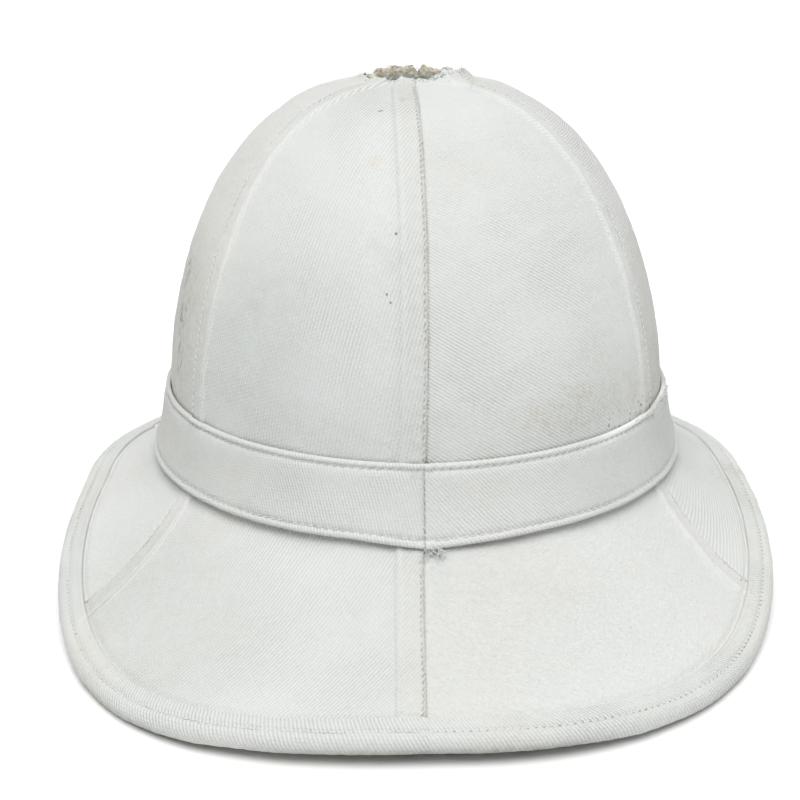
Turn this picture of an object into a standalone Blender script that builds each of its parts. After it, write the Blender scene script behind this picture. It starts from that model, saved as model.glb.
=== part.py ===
"""Pith helmet: a moulded cork body covered with six gores of white cotton drill.

Metres, +Z up. +Y is the way the wearer faces and +X is the wearer's right, so the long rear brim
reaches towards -Y. The origin is at the bottom centre of the helmet, on the surface that it rests on.
Angles round the helmet are measured at the crown's axis, from the rear (0) over the right (90) to the
front (180).
"""

import math
from functools import partial

import bpy
import numpy as np

MM = 0.001

# Crown, measured on the outside of its cloth, in the tilted plane of the hatband
CROWN_WIDTH = 193.0 * MM  # at the hatband's top edge
CROWN_LENGTH = 230.2 * MM
CROWN_HEIGHT = 115.0 * MM  # from the hatband's top edge to the unbroken dome's top
CROWN_FULLNESS = 1.75  # power that bends the side into the dome
CROWN_ROUNDNESS = 2.86  # power that keeps the side upright
TOP_LENGTH_RATIO = 1.19  # length over width close to the top
TOP_FORWARD = 6.8 * MM  # how far the dome's top leans to the front

# Foot of the crown, under the hatband
FOOT_HEIGHT = 27.2 * MM
FOOT_FLARE = 5.6 * MM  # how much further out the crown is where it meets the brim

# Brim, to the outermost line of its binding
BRIM_WIDTH = 268.4 * MM
REAR_REACH = 188.9 * MM  # from the crown's axis
FRONT_REACH = 172.4 * MM
REAR_LEFT_POWER = 3.00  # squareness of each end's outline, where 2 is an ellipse
REAR_RIGHT_POWER = 2.60
FRONT_POWER = 2.00
BRIM_TURN = math.radians(-1.7)  # the brim sits a little askew under the crown
BRIM_FLARE = 0.43  # how much steeper the brim leaves the crown than it ends
FOOT_LEVEL = 33.4 * MM  # the crown's foot above the lowest line of the brim
CROWN_TILT = math.radians(3.85)  # the rear of the crown sits higher than the front
REAR_LIFT = 3.7 * MM  # how far each stretch of the edge arches up between its four low corners
SIDE_LIFT = 10.9 * MM
FRONT_LIFT = 2.5 * MM
SEAM_SPLAY = math.radians(5.5)  # the slanting seams run this much further to the sides at the edge

# Walls
CLOTH = 1.0 * MM
CROWN_CORK = 4.5 * MM
EDGE_CORK = 3.0 * MM  # the cork thins over the brim
CLEARANCE = 0.3 * MM

# Seams between the gores, each with its turnings laid flat on one side under the cloth
GORES = (  # in order of angle, and whether each holds the turnings of its first and its last seam
    ("rear_right", False, True),
    ("side_right", False, True),
    ("front_right", False, True),
    ("front_left", False, False),
    ("side_left", True, False),
    ("rear_left", True, True),
)
SEAM_WIDTH = 10.0 * MM
SEAM_RISE = 0.6 * MM
SEAM_SOFT_SHARE = 0.22  # the part of that width over which the turnings end
SEAM_MOST_SHARE = 0.42  # of a gore's width, where the gores narrow at the top

# Torn hole at the top, where the ventilator sat
CLOTH_HOLE_RADIUS = 18.0 * MM
CORK_HOLE_RADIUS = 12.5 * MM
TEAR_DEPTH = 1.3 * MM
TEAR_WAVES = (5, 11)  # ragged bites round the hole, the large ones and the small ones
LIP_RISE = 4.9 * MM  # crumbled cork stands this high above the cloth at the front of the hole
LIP_DROP = 1.0 * MM  # and lies below it at the rear
LIP_CRUMBLE = 2.6 * MM  # how deep its ragged bites are
LIP_SETBACK = 0.9 * MM  # between the cloth's torn edge and the cork that stands up inside it

# Hatband
BAND_THICKNESS = 1.5 * MM
BAND_ROLL = 0.6 * MM  # the turned edges stand this much prouder than its middle
BAND_ROLL_HEIGHT = 2.2 * MM
BAND_LIFT = 1.2 * MM  # its lower edge stands this much clear of the brim
BAND_ARCH = 0.4 * MM  # and this much more over the rear
BAND_DIP = 1.7 * MM  # until it drops to a point at the join
BAND_JOIN_GAP = 0.3 * MM

# Binding round the brim
BINDING_CLOTH = 1.1 * MM
BINDING_TOP_WIDTH = 6.4 * MM  # from the cloth's edge inwards
BINDING_UNDER_WIDTH = 6.0 * MM
BINDING_MARGIN = 0.6 * MM  # of even brim that lies beyond the binding
NOSE_STEPS = 5

# How finely the forms are divided
CROWN_ROWS = 10
FOOT_ROWS = 2
BRIM_ROWS = 5
GORE_MIDDLES = 5


def material(name, colour, roughness):
    """A plain non-metallic finish."""
    made = bpy.data.materials.new(name)
    made.use_nodes = True
    shader = made.node_tree.nodes["Principled BSDF"]
    shader.inputs["Base Color"].default_value = (*colour, 1.0)
    shader.inputs["Roughness"].default_value = roughness
    shader.inputs["Metallic"].default_value = 0.0
    return made


def signed_power(value, power):
    return np.sign(value) * np.abs(value) ** power


def hatband_frame(points):
    """Turns points of the level crown by its tilt about X, and lifts them to the crown's foot."""
    cosine, sine = math.cos(CROWN_TILT), math.sin(CROWN_TILT)
    x, y, z = points[..., 0], points[..., 1], points[..., 2]
    return np.stack([x, y * cosine + z * sine, z * cosine - y * sine + FOOT_LEVEL], -1)


def oval(angle, half_width, half_length, height):
    return np.stack([half_width * np.sin(angle), -half_length * np.cos(angle), height + 0 * angle], -1)


def tear(angle, depth):
    """Ragged bites out of an edge, from 0 to depth, the same on each run."""
    large, small = TEAR_WAVES
    wave = 0.6 * np.sin(large * angle + 0.8) + 0.4 * np.sin(small * angle + 2.1)
    return depth * (0.5 + 0.5 * wave)


def axis_distance(angle):
    """From the crown's axis to its side at the hatband's top edge."""
    return np.hypot(CROWN_WIDTH / 2 * np.sin(angle), CROWN_LENGTH / 2 * np.cos(angle))


def crown_surface(angle, turn):
    """A point of the crown above the hatband. Turn runs from 0 there to pi/2 at the dome's top."""
    reach = np.cos(turn) ** (2 / CROWN_ROUNDNESS)
    share = np.sin(turn) ** (2 / CROWN_FULLNESS)
    base_ratio = CROWN_LENGTH / CROWN_WIDTH
    ratio = base_ratio + (TOP_LENGTH_RATIO - base_ratio) * share
    half_width = CROWN_WIDTH / 2 * reach
    point = oval(angle, half_width, half_width * ratio, FOOT_HEIGHT + CROWN_HEIGHT * share)
    point[..., 1] += TOP_FORWARD * share
    return hatband_frame(point)


def hole_turn(angle, radius):
    """The turn at which the crown has come in to this distance from its axis."""
    reach = radius / axis_distance(angle)
    return np.arccos(reach ** (CROWN_ROUNDNESS / 2))


def foot_surface(angle, share):
    """A point under the hatband. Share runs from 0 at its top edge to 1 where the brim begins."""
    out = FOOT_FLARE * share**2
    height = FOOT_HEIGHT * (1 - share)
    return hatband_frame(oval(angle, CROWN_WIDTH / 2 + out, CROWN_LENGTH / 2 + out, height))


def edge_height(angle):
    """How far the brim's edge arches above its four low corners."""
    sides = np.sin(angle) ** 2
    ends = np.where(np.cos(angle) > 0, REAR_LIFT, FRONT_LIFT)
    return (SIDE_LIFT * sides + ends * (1 - sides)) * (0.5 + 0.5 * np.cos(4 * angle))


def brim_outline(angle):
    """The outermost line of the brim, at the middle of its rolled edge."""
    sine, cosine = np.sin(angle), np.cos(angle)
    rear_power = np.where(sine < 0, REAR_LEFT_POWER, REAR_RIGHT_POWER)
    power = np.where(cosine > 0, rear_power, FRONT_POWER)
    reach = np.where(cosine > 0, REAR_REACH, FRONT_REACH)
    x = BRIM_WIDTH / 2 * signed_power(sine, 2 / power)
    y = -reach * signed_power(cosine, 2 / power)
    turned_x = x * math.cos(BRIM_TURN) - y * math.sin(BRIM_TURN)
    turned_y = y * math.cos(BRIM_TURN) + x * math.sin(BRIM_TURN)
    return np.stack([turned_x, turned_y, edge_height(angle)], -1)


def nose_radius():
    """Half the thickness of the whole edge: the cover, the cork and both sides of the binding."""
    return (CLOTH + EDGE_CORK + 3 * CLEARANCE + SEAM_RISE + 2 * BINDING_CLOTH) / 2


def edge_top():
    """The cover's outside above the lowest line of the rolled edge."""
    return CLOTH + EDGE_CORK + 2 * CLEARANCE + BINDING_CLOTH


def brim_way(angle, share):
    """From the crown's foot to the cover's edge: where it starts, and the level way and the drop.

    The way swings to the sides as the share grows, which bows the slanting seams.
    """
    root = foot_surface(angle, np.ones_like(angle))
    rim = brim_outline(angle + SEAM_SPLAY * np.sin(2 * angle) * share)
    way = rim[..., :2] - root[..., :2]
    run = np.linalg.norm(way, axis=-1)
    kept = (run - nose_radius() - CLEARANCE) / run
    return root, way * kept[..., None], rim[..., 2] + edge_top() - root[..., 2]


def brim_surface(angle, share):
    """A point on top of the brim. Share runs from 0 at the crown to 1 at the cover's edge."""
    root, way, drop = brim_way(angle, share)
    flat = root[..., :2] + way * np.asarray(share)[..., None]
    height = root[..., 2] + drop * (share + BRIM_FLARE * share * (1 - share))
    return np.concatenate([flat, height[..., None]], -1)


def binding_share(angle):
    """The share of the brim at which the even stretch under the binding begins."""
    length = np.linalg.norm(brim_way(angle, 1.0)[1], axis=-1)
    return 1 - (BINDING_TOP_WIDTH + BINDING_MARGIN) / length


def seam_angle(seam, side, pitch, row):
    """How far round the turnings go to one side of a seam, on a row given by its points' angles."""
    spans = np.linspace(0, pitch * SEAM_MOST_SHARE, 60)
    points = row(seam + side * spans)
    away = np.linalg.norm(points - points[0], axis=-1)
    return np.interp(SEAM_WIDTH, away, spans)


def gore_angles(gore, row):
    """The angles of one gore's columns, from one seam to the next."""
    pitch = 2 * math.pi / len(GORES)
    start, end = gore * pitch, (gore + 1) * pitch
    held_first, held_last = GORES[gore][1:]
    flat = 1 - SEAM_SOFT_SHARE
    first, last = seam_angle(start, 1, pitch, row), seam_angle(end, -1, pitch, row)
    low, high = start + first * held_first, end - last * held_last
    middles = np.linspace(low, high, GORE_MIDDLES + 2)[1:-1]
    opening = [start, start + first * flat, low] if held_first else [start]
    closing = [high, end - last * flat, end] if held_last else [end]
    return [*opening, *middles, *closing]


def gore_rise(gore):
    """How far each of a gore's columns stands above the plain cover."""
    held_first, held_last = GORES[gore][1:]
    opening = [SEAM_RISE, SEAM_RISE, 0.0] if held_first else [0.0]
    closing = [0.0, SEAM_RISE, SEAM_RISE] if held_last else [0.0]
    return np.array([*opening, *[0.0] * GORE_MIDDLES, *closing])


def row_angles(row):
    """The angles of a whole row, each seam once."""
    return np.array([a for gore in range(len(GORES)) for a in gore_angles(gore, row)[:-1]])


def crown_row(angle, part):
    """Points of the crown, as a part of the way up from the hatband to the torn edge."""
    return crown_surface(angle, part * hole_turn(angle, CLOTH_HOLE_RADIUS + tear(angle, TEAR_DEPTH)))


def brim_row(angle, share):
    """Points of the brim, as a share of the way out to the stretch under the binding."""
    return brim_surface(angle, share * binding_share(angle))


def surface_grid():
    """Points of the cover's outside, in rows that go once round, from the torn hole to the edge."""
    rows = [partial(crown_row, part=step / CROWN_ROWS) for step in range(CROWN_ROWS, 0, -1)]
    rows += [partial(foot_surface, share=step / FOOT_ROWS) for step in range(FOOT_ROWS)]
    rows += [partial(brim_row, share=step / (BRIM_ROWS - 1)) for step in range(BRIM_ROWS)]
    rows.append(partial(brim_surface, share=1.0))
    return np.array([row(row_angles(row)) for row in rows])


def normals_of(grid):
    """Outward normals of a grid whose rows close round and run downwards."""
    round_way = np.roll(grid, -1, axis=1) - np.roll(grid, 1, axis=1)
    down_way = np.gradient(grid, axis=0)
    normal = np.cross(down_way, round_way)
    return normal / np.linalg.norm(normal, axis=-1, keepdims=True)


def shell_mesh(name, outer, inner, closed):
    """A wall between two like grids of points. A closed one runs all the way round."""
    rows, columns = outer.shape[:2]
    points = np.concatenate([outer.reshape(-1, 3), inner.reshape(-1, 3)])
    back = rows * columns
    faces = []
    spans = columns if closed else columns - 1
    for row in range(rows - 1):
        for column in range(spans):
            a, b = row * columns + column, row * columns + (column + 1) % columns
            c, d = b + columns, a + columns
            faces.append((a, d, c, b))
            faces.append((a + back, b + back, c + back, d + back))
    for row, down in ((0, True), (rows - 1, False)):
        for column in range(spans):
            a, b = row * columns + column, row * columns + (column + 1) % columns
            faces.append((a, b, b + back, a + back) if down else (b, a, a + back, b + back))
    if not closed:
        for column, first in ((0, True), (columns - 1, False)):
            for row in range(rows - 1):
                a, d = row * columns + column, (row + 1) * columns + column
                faces.append((a, a + back, d + back, d) if first else (d, d + back, a + back, a))
    mesh = bpy.data.meshes.new(name)
    mesh.from_pydata(points.tolist(), [], faces)
    return mesh


def tube_mesh(name, loops, closed):
    """A skin through closed section loops. An open run of sections gets flat ends."""
    count, size = loops.shape[:2]
    faces = []
    spans = count if closed else count - 1
    for section in range(spans):
        for point in range(size):
            a, b = section * size + point, section * size + (point + 1) % size
            step = size if section < count - 1 else -section * size
            faces.append((a, b, b + step, a + step))
    if not closed:
        faces.append(tuple(reversed(range(size))))
        faces.append(tuple(range((count - 1) * size, count * size)))
    mesh = bpy.data.meshes.new(name)
    mesh.from_pydata(loops.reshape(-1, 3).tolist(), [], faces)
    return mesh


def place(mesh, finish, parent):
    """Links a mesh as an object of the same name, with smooth rounds and sharp folds."""
    obj = bpy.data.objects.new(mesh.name, mesh)
    bpy.context.scene.collection.objects.link(obj)
    mesh.materials.append(finish)
    mesh.shade_smooth()
    mesh.set_sharp_from_angle(angle=math.radians(40))
    mesh.validate()
    obj.parent = parent
    return obj


def gore_mesh(gore, grid, normal):
    """One gore of the cover, from the torn hole over the crown and the brim to its edge."""
    rise = gore_rise(gore)
    before = sum(len(gore_rise(earlier)) - 1 for earlier in range(gore))
    picks = (before + np.arange(len(rise))) % grid.shape[1]
    outer, out = grid[:, picks].copy(), normal[:, picks]
    inner = outer - out * CLOTH
    for edge, inward in ((0, 1), (-1, -2)):
        way = outer[:, inward] - outer[:, edge]
        way /= np.linalg.norm(way, axis=-1, keepdims=True)
        outer[:, edge] += way * CLEARANCE / 2
        inner[:, edge] += way * CLEARANCE / 2
    outer += out * rise[None, :, None]
    return shell_mesh(f"gore_{GORES[gore][0]}", outer, inner, closed=False)


def cork_depths():
    """The thickness of the cork at each row. It thins over the brim and is even under the binding."""
    crown = [CROWN_CORK] * (CROWN_ROWS + FOOT_ROWS)
    brim = np.linspace(CROWN_CORK, EDGE_CORK, BRIM_ROWS)
    return np.array([*crown, *brim, EDGE_CORK])


def cork_mesh(grid, normal):
    """The moulded body under the gores, with its crumbled lip standing up inside the hole."""
    outer = grid - normal * (CLOTH + CLEARANCE)
    inner = outer - normal * cork_depths()[:, None, None]
    angle = row_angles(partial(crown_row, part=1.0))
    cloth_edge = CLOTH_HOLE_RADIUS + tear(angle, TEAR_DEPTH) - LIP_SETBACK
    bore = CORK_HOLE_RADIUS + tear(angle + 2.0, TEAR_DEPTH)
    front = 0.5 - 0.5 * np.cos(angle)
    crumble = (LIP_RISE - tear(angle - 2.26, LIP_CRUMBLE)) * front - LIP_DROP * (1 - front)
    crumble = crumble[:, None]
    up = normal[0]
    foot, middle, brink = (
        crown_surface(angle, hole_turn(angle, radius))
        for radius in (cloth_edge, (bore + cloth_edge) / 2, bore)
    )
    above = [
        brink - up * (CROWN_CORK / 2 - crumble / 2),
        middle + up * crumble,
        foot + up * crumble * 0.4,
        foot - up * (CLOTH + CLEARANCE),
    ]
    deep = up * (CLOTH + CLEARANCE + CROWN_CORK)
    below = [brink - deep, middle - deep, (middle + foot) / 2 - deep, foot - deep]
    return shell_mesh("shell", np.array([*above, *outer]), np.array([*below, *inner]), closed=True)


def foot_normal(angle, share):
    """Outward from the crown's foot, square to the way round and to the way down."""
    face = foot_surface(angle, share)
    upward = foot_surface(angle, share - 0.01) - face
    around = foot_surface(angle + 0.001, share) - face
    normal = np.cross(around, upward)
    return normal / np.linalg.norm(normal, axis=-1, keepdims=True)


def band_mesh():
    """The hatband, open by a hair at its join at the rear. Its two long edges are turned over."""
    half_gap = BAND_JOIN_GAP / CROWN_LENGTH
    angle = np.append(row_angles(partial(foot_surface, share=0.0)), 2 * math.pi)
    angle[0] += half_gap
    angle[-1] -= half_gap
    roll = BAND_ROLL_HEIGHT / FOOT_HEIGHT
    front = (  # share of the height from the top down, and how far the outer face stands out
        (0.0, BAND_THICKNESS + BAND_ROLL * 0.4),
        (roll * 0.5, BAND_THICKNESS + BAND_ROLL),
        (roll, BAND_THICKNESS),
        (0.5, BAND_THICKNESS),
        (1 - roll, BAND_THICKNESS),
        (1 - roll * 0.5, BAND_THICKNESS + BAND_ROLL),
        (1.0, BAND_THICKNESS + BAND_ROLL * 0.4),
    )
    back = ((1.0, 0.0), (0.5, 0.0), (0.0, 0.0))
    rear = np.clip(np.cos(angle), 0, 1)
    lift = BAND_LIFT + BAND_ARCH * rear**3
    dip = BAND_DIP * rear**150
    loops = []
    for share, out in front + back:
        level = np.full_like(angle, share)
        point = foot_surface(angle, level) + foot_normal(angle, level) * (SEAM_RISE + CLEARANCE + out)
        point[:, 2] += (lift - dip * (out > 0)) * share
        loops.append(point)
    return tube_mesh("hatband", np.array(loops).transpose(1, 0, 2), closed=False)


def binding_mesh(grid, normal):
    """The binding: cloth folded over the brim's edge, round a rolled nose."""
    rim, out = grid[-1], normal[-1]
    inward = grid[-2] - rim
    inward /= np.linalg.norm(inward, axis=-1, keepdims=True)
    top_inside = SEAM_RISE + CLEARANCE
    under_inside = -(CLOTH + EDGE_CORK + 2 * CLEARANCE)
    top_outside = top_inside + BINDING_CLOTH
    under_outside = under_inside - BINDING_CLOTH
    middle = (top_outside + under_outside) / 2
    section = [(BINDING_TOP_WIDTH, top_inside), (BINDING_TOP_WIDTH, top_outside)]
    for step in range(NOSE_STEPS + 1):
        turn = math.pi * step / NOSE_STEPS
        reach = nose_radius() * math.sin(turn)
        section.append((-CLEARANCE - reach, middle + nose_radius() * math.cos(turn)))
    section += [(BINDING_UNDER_WIDTH, under_outside), (BINDING_UNDER_WIDTH, under_inside)]
    section += [(-CLEARANCE, under_inside), (-CLEARANCE, top_inside)]
    loops = [rim + inward * along + out * up for along, up in section]
    return tube_mesh("brim_binding", np.array(loops).transpose(1, 0, 2), closed=True)


def build():
    """Makes every piece under one empty, which sets the helmet down on the ground plane."""
    for old in list(bpy.data.objects):
        bpy.data.objects.remove(old)
    cloth = material("cotton_drill", (0.80, 0.80, 0.77), 0.85)
    cork = material("cork", (0.50, 0.40, 0.27), 0.95)

    grid = surface_grid()
    normal = normals_of(grid)
    stand = bpy.data.objects.new("helmet", None)
    bpy.context.scene.collection.objects.link(stand)

    for gore in range(len(GORES)):
        place(gore_mesh(gore, grid, normal), cloth, stand)
    place(cork_mesh(grid, normal), cork, stand)
    place(band_mesh(), cloth, stand)
    binding = place(binding_mesh(grid, normal), cloth, stand)

    points = np.array([vertex.co for vertex in binding.data.vertices])
    low, high = points.min(axis=0), points.max(axis=0)
    stand.location = (-(low[0] + high[0]) / 2, -(low[1] + high[1]) / 2, -low[2])


build()
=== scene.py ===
import math
import random

import bpy
import numpy as np
from mathutils import Matrix, Vector, noise


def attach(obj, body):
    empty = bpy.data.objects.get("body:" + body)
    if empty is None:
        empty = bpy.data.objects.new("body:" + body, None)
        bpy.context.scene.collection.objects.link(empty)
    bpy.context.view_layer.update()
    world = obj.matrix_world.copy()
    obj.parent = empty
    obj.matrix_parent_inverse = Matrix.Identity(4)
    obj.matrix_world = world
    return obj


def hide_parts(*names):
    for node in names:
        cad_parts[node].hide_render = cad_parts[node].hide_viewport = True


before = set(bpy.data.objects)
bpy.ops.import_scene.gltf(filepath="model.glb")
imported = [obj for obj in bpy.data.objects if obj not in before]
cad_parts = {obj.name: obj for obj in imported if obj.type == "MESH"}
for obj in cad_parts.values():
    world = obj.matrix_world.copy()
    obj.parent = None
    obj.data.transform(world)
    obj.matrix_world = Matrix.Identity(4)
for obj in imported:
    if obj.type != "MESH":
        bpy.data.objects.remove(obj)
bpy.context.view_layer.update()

bpy.ops.object.select_all(action="DESELECT")

MM = 0.001

# The helmet's sizes, as in the part's source
CROWN_WIDTH, CROWN_LENGTH, CROWN_HEIGHT = 193.0 * MM, 230.2 * MM, 115.0 * MM
CROWN_FULLNESS, CROWN_ROUNDNESS = 1.75, 2.86
TOP_LENGTH_RATIO, TOP_FORWARD = 1.19, 6.8 * MM
FOOT_HEIGHT, FOOT_FLARE = 27.2 * MM, 5.6 * MM
BRIM_WIDTH, REAR_REACH, FRONT_REACH = 268.4 * MM, 188.9 * MM, 172.4 * MM
REAR_LEFT_POWER, REAR_RIGHT_POWER, FRONT_POWER = 3.0, 2.6, 2.0
BRIM_TURN, BRIM_FLARE = math.radians(-1.7), 0.43
FOOT_LEVEL, CROWN_TILT = 33.4 * MM, math.radians(3.85)
REAR_LIFT, SIDE_LIFT, FRONT_LIFT = 3.7 * MM, 10.9 * MM, 2.5 * MM
SEAM_SPLAY = math.radians(5.5)
CLOTH, CROWN_CORK, EDGE_CORK, CLEARANCE = 1.0 * MM, 4.5 * MM, 3.0 * MM, 0.3 * MM
SEAM_WIDTH, SEAM_RISE, SEAM_MOST_SHARE = 10.0 * MM, 0.6 * MM, 0.42
CLOTH_HOLE, CORK_HOLE, TEAR_DEPTH = 18.0 * MM, 12.5 * MM, 1.3 * MM
LIP_RISE, LIP_DROP, LIP_CRUMBLE = 4.9 * MM, 1.0 * MM, 2.6 * MM
BAND_LIFT, BAND_ARCH, BAND_DIP = 1.2 * MM, 0.4 * MM, 3.2 * MM
BINDING_CLOTH, BINDING_TOP, BINDING_UNDER = 1.1 * MM, 6.4 * MM, 6.0 * MM
STAND = np.array([0.602, 8.183, -0.151]) * MM  # sets the helmet down on the floor, centred

# name, holds the turnings of its first and last seam, how its twill leans in degrees, and the ribs' pitch
GORES = (
    ("rear_right", False, True, -33.0, 1.12 * MM),
    ("side_right", False, True, 4.0, 1.0 * MM),
    ("front_right", False, True, 70.0, 1.1 * MM),
    ("front_left", False, False, -22.0, 1.3 * MM),
    ("side_left", True, False, 62.0, 1.1 * MM),
    ("rear_left", True, True, 80.0, 1.3 * MM),
)
PITCH = 2 * math.pi / len(GORES)


# ---- surfaces ----


def signed_power(value, power):
    return np.sign(value) * np.abs(value) ** power


def hatband_frame(points):
    cosine, sine = math.cos(CROWN_TILT), math.sin(CROWN_TILT)
    x, y, z = points[..., 0], points[..., 1], points[..., 2]
    return np.stack([x, y * cosine + z * sine, z * cosine - y * sine + FOOT_LEVEL], -1)


def oval(angle, half_width, half_length, height):
    return np.stack([half_width * np.sin(angle), -half_length * np.cos(angle), height + 0 * angle], -1)


def tear(angle, depth):
    wave = 0.6 * np.sin(5 * angle + 0.8) + 0.4 * np.sin(11 * angle + 2.1)
    return depth * (0.5 + 0.5 * wave)


def axis_distance(angle):
    return np.hypot(CROWN_WIDTH / 2 * np.sin(angle), CROWN_LENGTH / 2 * np.cos(angle))


def crown_surface(angle, turn):
    reach = np.cos(turn) ** (2 / CROWN_ROUNDNESS)
    share = np.sin(turn) ** (2 / CROWN_FULLNESS)
    base_ratio = CROWN_LENGTH / CROWN_WIDTH
    ratio = base_ratio + (TOP_LENGTH_RATIO - base_ratio) * share
    half_width = CROWN_WIDTH / 2 * reach
    point = oval(angle, half_width, half_width * ratio, FOOT_HEIGHT + CROWN_HEIGHT * share)
    point[..., 1] += TOP_FORWARD * share
    return hatband_frame(point) + STAND


def hole_turn(angle, radius):
    reach = radius / axis_distance(angle)
    return np.arccos(reach ** (CROWN_ROUNDNESS / 2))


def foot_surface(angle, share):
    out = FOOT_FLARE * share**2
    level = FOOT_HEIGHT * (1 - share)
    return hatband_frame(oval(angle, CROWN_WIDTH / 2 + out, CROWN_LENGTH / 2 + out, level)) + STAND


def edge_height(angle):
    sides = np.sin(angle) ** 2
    ends = np.where(np.cos(angle) > 0, REAR_LIFT, FRONT_LIFT)
    return (SIDE_LIFT * sides + ends * (1 - sides)) * (0.5 + 0.5 * np.cos(4 * angle))


def brim_outline(angle):
    sine, cosine = np.sin(angle), np.cos(angle)
    rear_power = np.where(sine < 0, REAR_LEFT_POWER, REAR_RIGHT_POWER)
    power = np.where(cosine > 0, rear_power, FRONT_POWER)
    reach = np.where(cosine > 0, REAR_REACH, FRONT_REACH)
    x = BRIM_WIDTH / 2 * signed_power(sine, 2 / power)
    y = -reach * signed_power(cosine, 2 / power)
    turned_x = x * math.cos(BRIM_TURN) - y * math.sin(BRIM_TURN)
    turned_y = y * math.cos(BRIM_TURN) + x * math.sin(BRIM_TURN)
    return np.stack([turned_x, turned_y, edge_height(angle)], -1) + STAND


NOSE = (CLOTH + EDGE_CORK + 3 * CLEARANCE + SEAM_RISE + 2 * BINDING_CLOTH) / 2
EDGE_TOP = CLOTH + EDGE_CORK + 2 * CLEARANCE + BINDING_CLOTH


def brim_way(angle, share):
    root = foot_surface(angle, np.ones_like(angle))
    rim = brim_outline(angle + SEAM_SPLAY * np.sin(2 * angle) * share)
    way = rim[..., :2] - root[..., :2]
    run = np.linalg.norm(way, axis=-1)
    kept = (run - NOSE - CLEARANCE) / run
    return root, way * kept[..., None], rim[..., 2] + EDGE_TOP - root[..., 2]


def brim_surface(angle, share):
    root, way, drop = brim_way(angle, share)
    flat = root[..., :2] + way * share[..., None]
    height = root[..., 2] + drop * (share + BRIM_FLARE * share * (1 - share))
    return np.concatenate([flat, height[..., None]], -1)


def cover_surface(angle, way):
    """The cover at a way down: -1 at the torn hole, 0 at the band's top, 1 at the brim, 2 at its edge."""
    edge = hole_turn(angle, CLOTH_HOLE + tear(angle, TEAR_DEPTH))
    crown = crown_surface(angle, np.clip(-way, 0, 1) * edge)
    foot = foot_surface(angle, np.clip(way, 0, 1))
    brim = brim_surface(angle, np.clip(way - 1, 0, 1))
    return np.where((way <= 0)[..., None], crown, np.where((way <= 1)[..., None], foot, brim))


def grid_normals(points, closed=False):
    """Outward normals of a grid of points whose rows run down and whose columns run round."""
    if closed:
        around = np.roll(points, -1, axis=1) - np.roll(points, 1, axis=1)
    else:
        around = np.gradient(points, axis=1)
    normal = np.cross(np.gradient(points, axis=0), around)
    return normal / np.maximum(np.linalg.norm(normal, axis=-1, keepdims=True), 1e-12)


def ripple(points, size, seed):
    """Smooth unevenness from -1 to 1 with bumps of about this size."""
    p = points / size * math.pi
    total = 0
    for k in range(4):
        a, b, c = np.array([1.0, 0.73, 1.31]) * (1 + 0.37 * k), 1.7 * k + seed, 0.9 * seed + 2.3 * k
        total = total + np.sin(p[..., 0] * a[0] + b + 1.9 * np.sin(p[..., 1] * 0.61 + c)) * np.sin(
            p[..., 1] * a[1] + p[..., 2] * a[2] + c
        )
    return total / 2.4


def smooth(value):
    t = np.clip(value, 0, 1)
    return t * t * (3 - 2 * t)


def along(points, axis):
    """Distance along a grid's rows or columns from their first point."""
    step = np.linalg.norm(np.diff(points, axis=axis), axis=-1)
    start = np.zeros_like(np.take(step, [0], axis=axis))
    return np.concatenate([start, np.cumsum(step, axis=axis)], axis=axis)


def turned_by(seam, side, ways, distances, most):
    """How far round a distance to one side of a seam goes, at each way down."""
    spans = most * np.linspace(0, 1, 120) ** 2
    start = np.reshape(seam + 0.0 * ways, (-1, 1))
    points = cover_surface(start + side * spans[None], np.repeat(ways[:, None], len(spans), 1))
    away = np.linalg.norm(points - points[:, :1], axis=-1)
    return np.array([np.interp(d, row, spans) for d, row in zip(distances + 0.0 * ways, away)])


def seam_angles(seam, ways):
    """A seam's angle at each way down. The rear one swings a little to the left."""
    if seam % len(GORES):
        return seam * PITCH + 0.0 * ways
    swing = 3.3 * MM * smooth((ways + 0.55) / 0.9) - 2.2 * MM * smooth(ways - 1.0)
    return seam * PITCH - turned_by(0.0, -1, ways, swing, 0.05)


# ---- making pieces ----


def select_only(*objects):
    bpy.ops.object.select_all(action="DESELECT")
    for obj in objects:
        obj.select_set(True)
    bpy.context.view_layer.objects.active = objects[0]


def cut_sheet(name, points, cloth_u, cloth_v, marks):
    """A flat sheet of as many squares as the grid, laid over its points, with the cloth's own map and marks."""
    rows, columns = points.shape[0], points.shape[1]
    bpy.ops.mesh.primitive_grid_add(x_subdivisions=columns - 1, y_subdivisions=rows - 1, size=0.3)
    sheet = bpy.context.object
    sheet.name = sheet.data.name = name
    # the grid's own rows run up in y, so the first row of points is its last
    sheet.data.vertices.foreach_set("co", points[::-1].reshape(-1).astype(np.float32))
    while sheet.data.uv_layers:
        sheet.data.uv_layers.remove(sheet.data.uv_layers[0])
    layer = sheet.data.uv_layers.new(name="cloth")
    index = np.empty(len(sheet.data.loops), dtype=np.int32)
    sheet.data.loops.foreach_get("vertex_index", index)
    flat = np.stack([cloth_u[::-1].reshape(-1), cloth_v[::-1].reshape(-1)], -1)[index]
    layer.data.foreach_set("uv", flat.reshape(-1).astype(np.float32))
    for label, values in marks.items():
        mark = sheet.data.attributes.new(label, "FLOAT", "POINT")
        mark.data.foreach_set("value", values[::-1].reshape(-1).astype(np.float32))
    sheet.data.update()
    return sheet


def thicken(sheet, depth):
    """Gives the sheet its thickness inwards, with a plain rim."""
    wall = sheet.modifiers.new("wall", "SOLIDIFY")
    wall.thickness = depth
    wall.offset = -1.0
    wall.use_rim = True
    select_only(sheet)
    bpy.ops.object.modifier_apply(modifier="wall")


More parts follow.
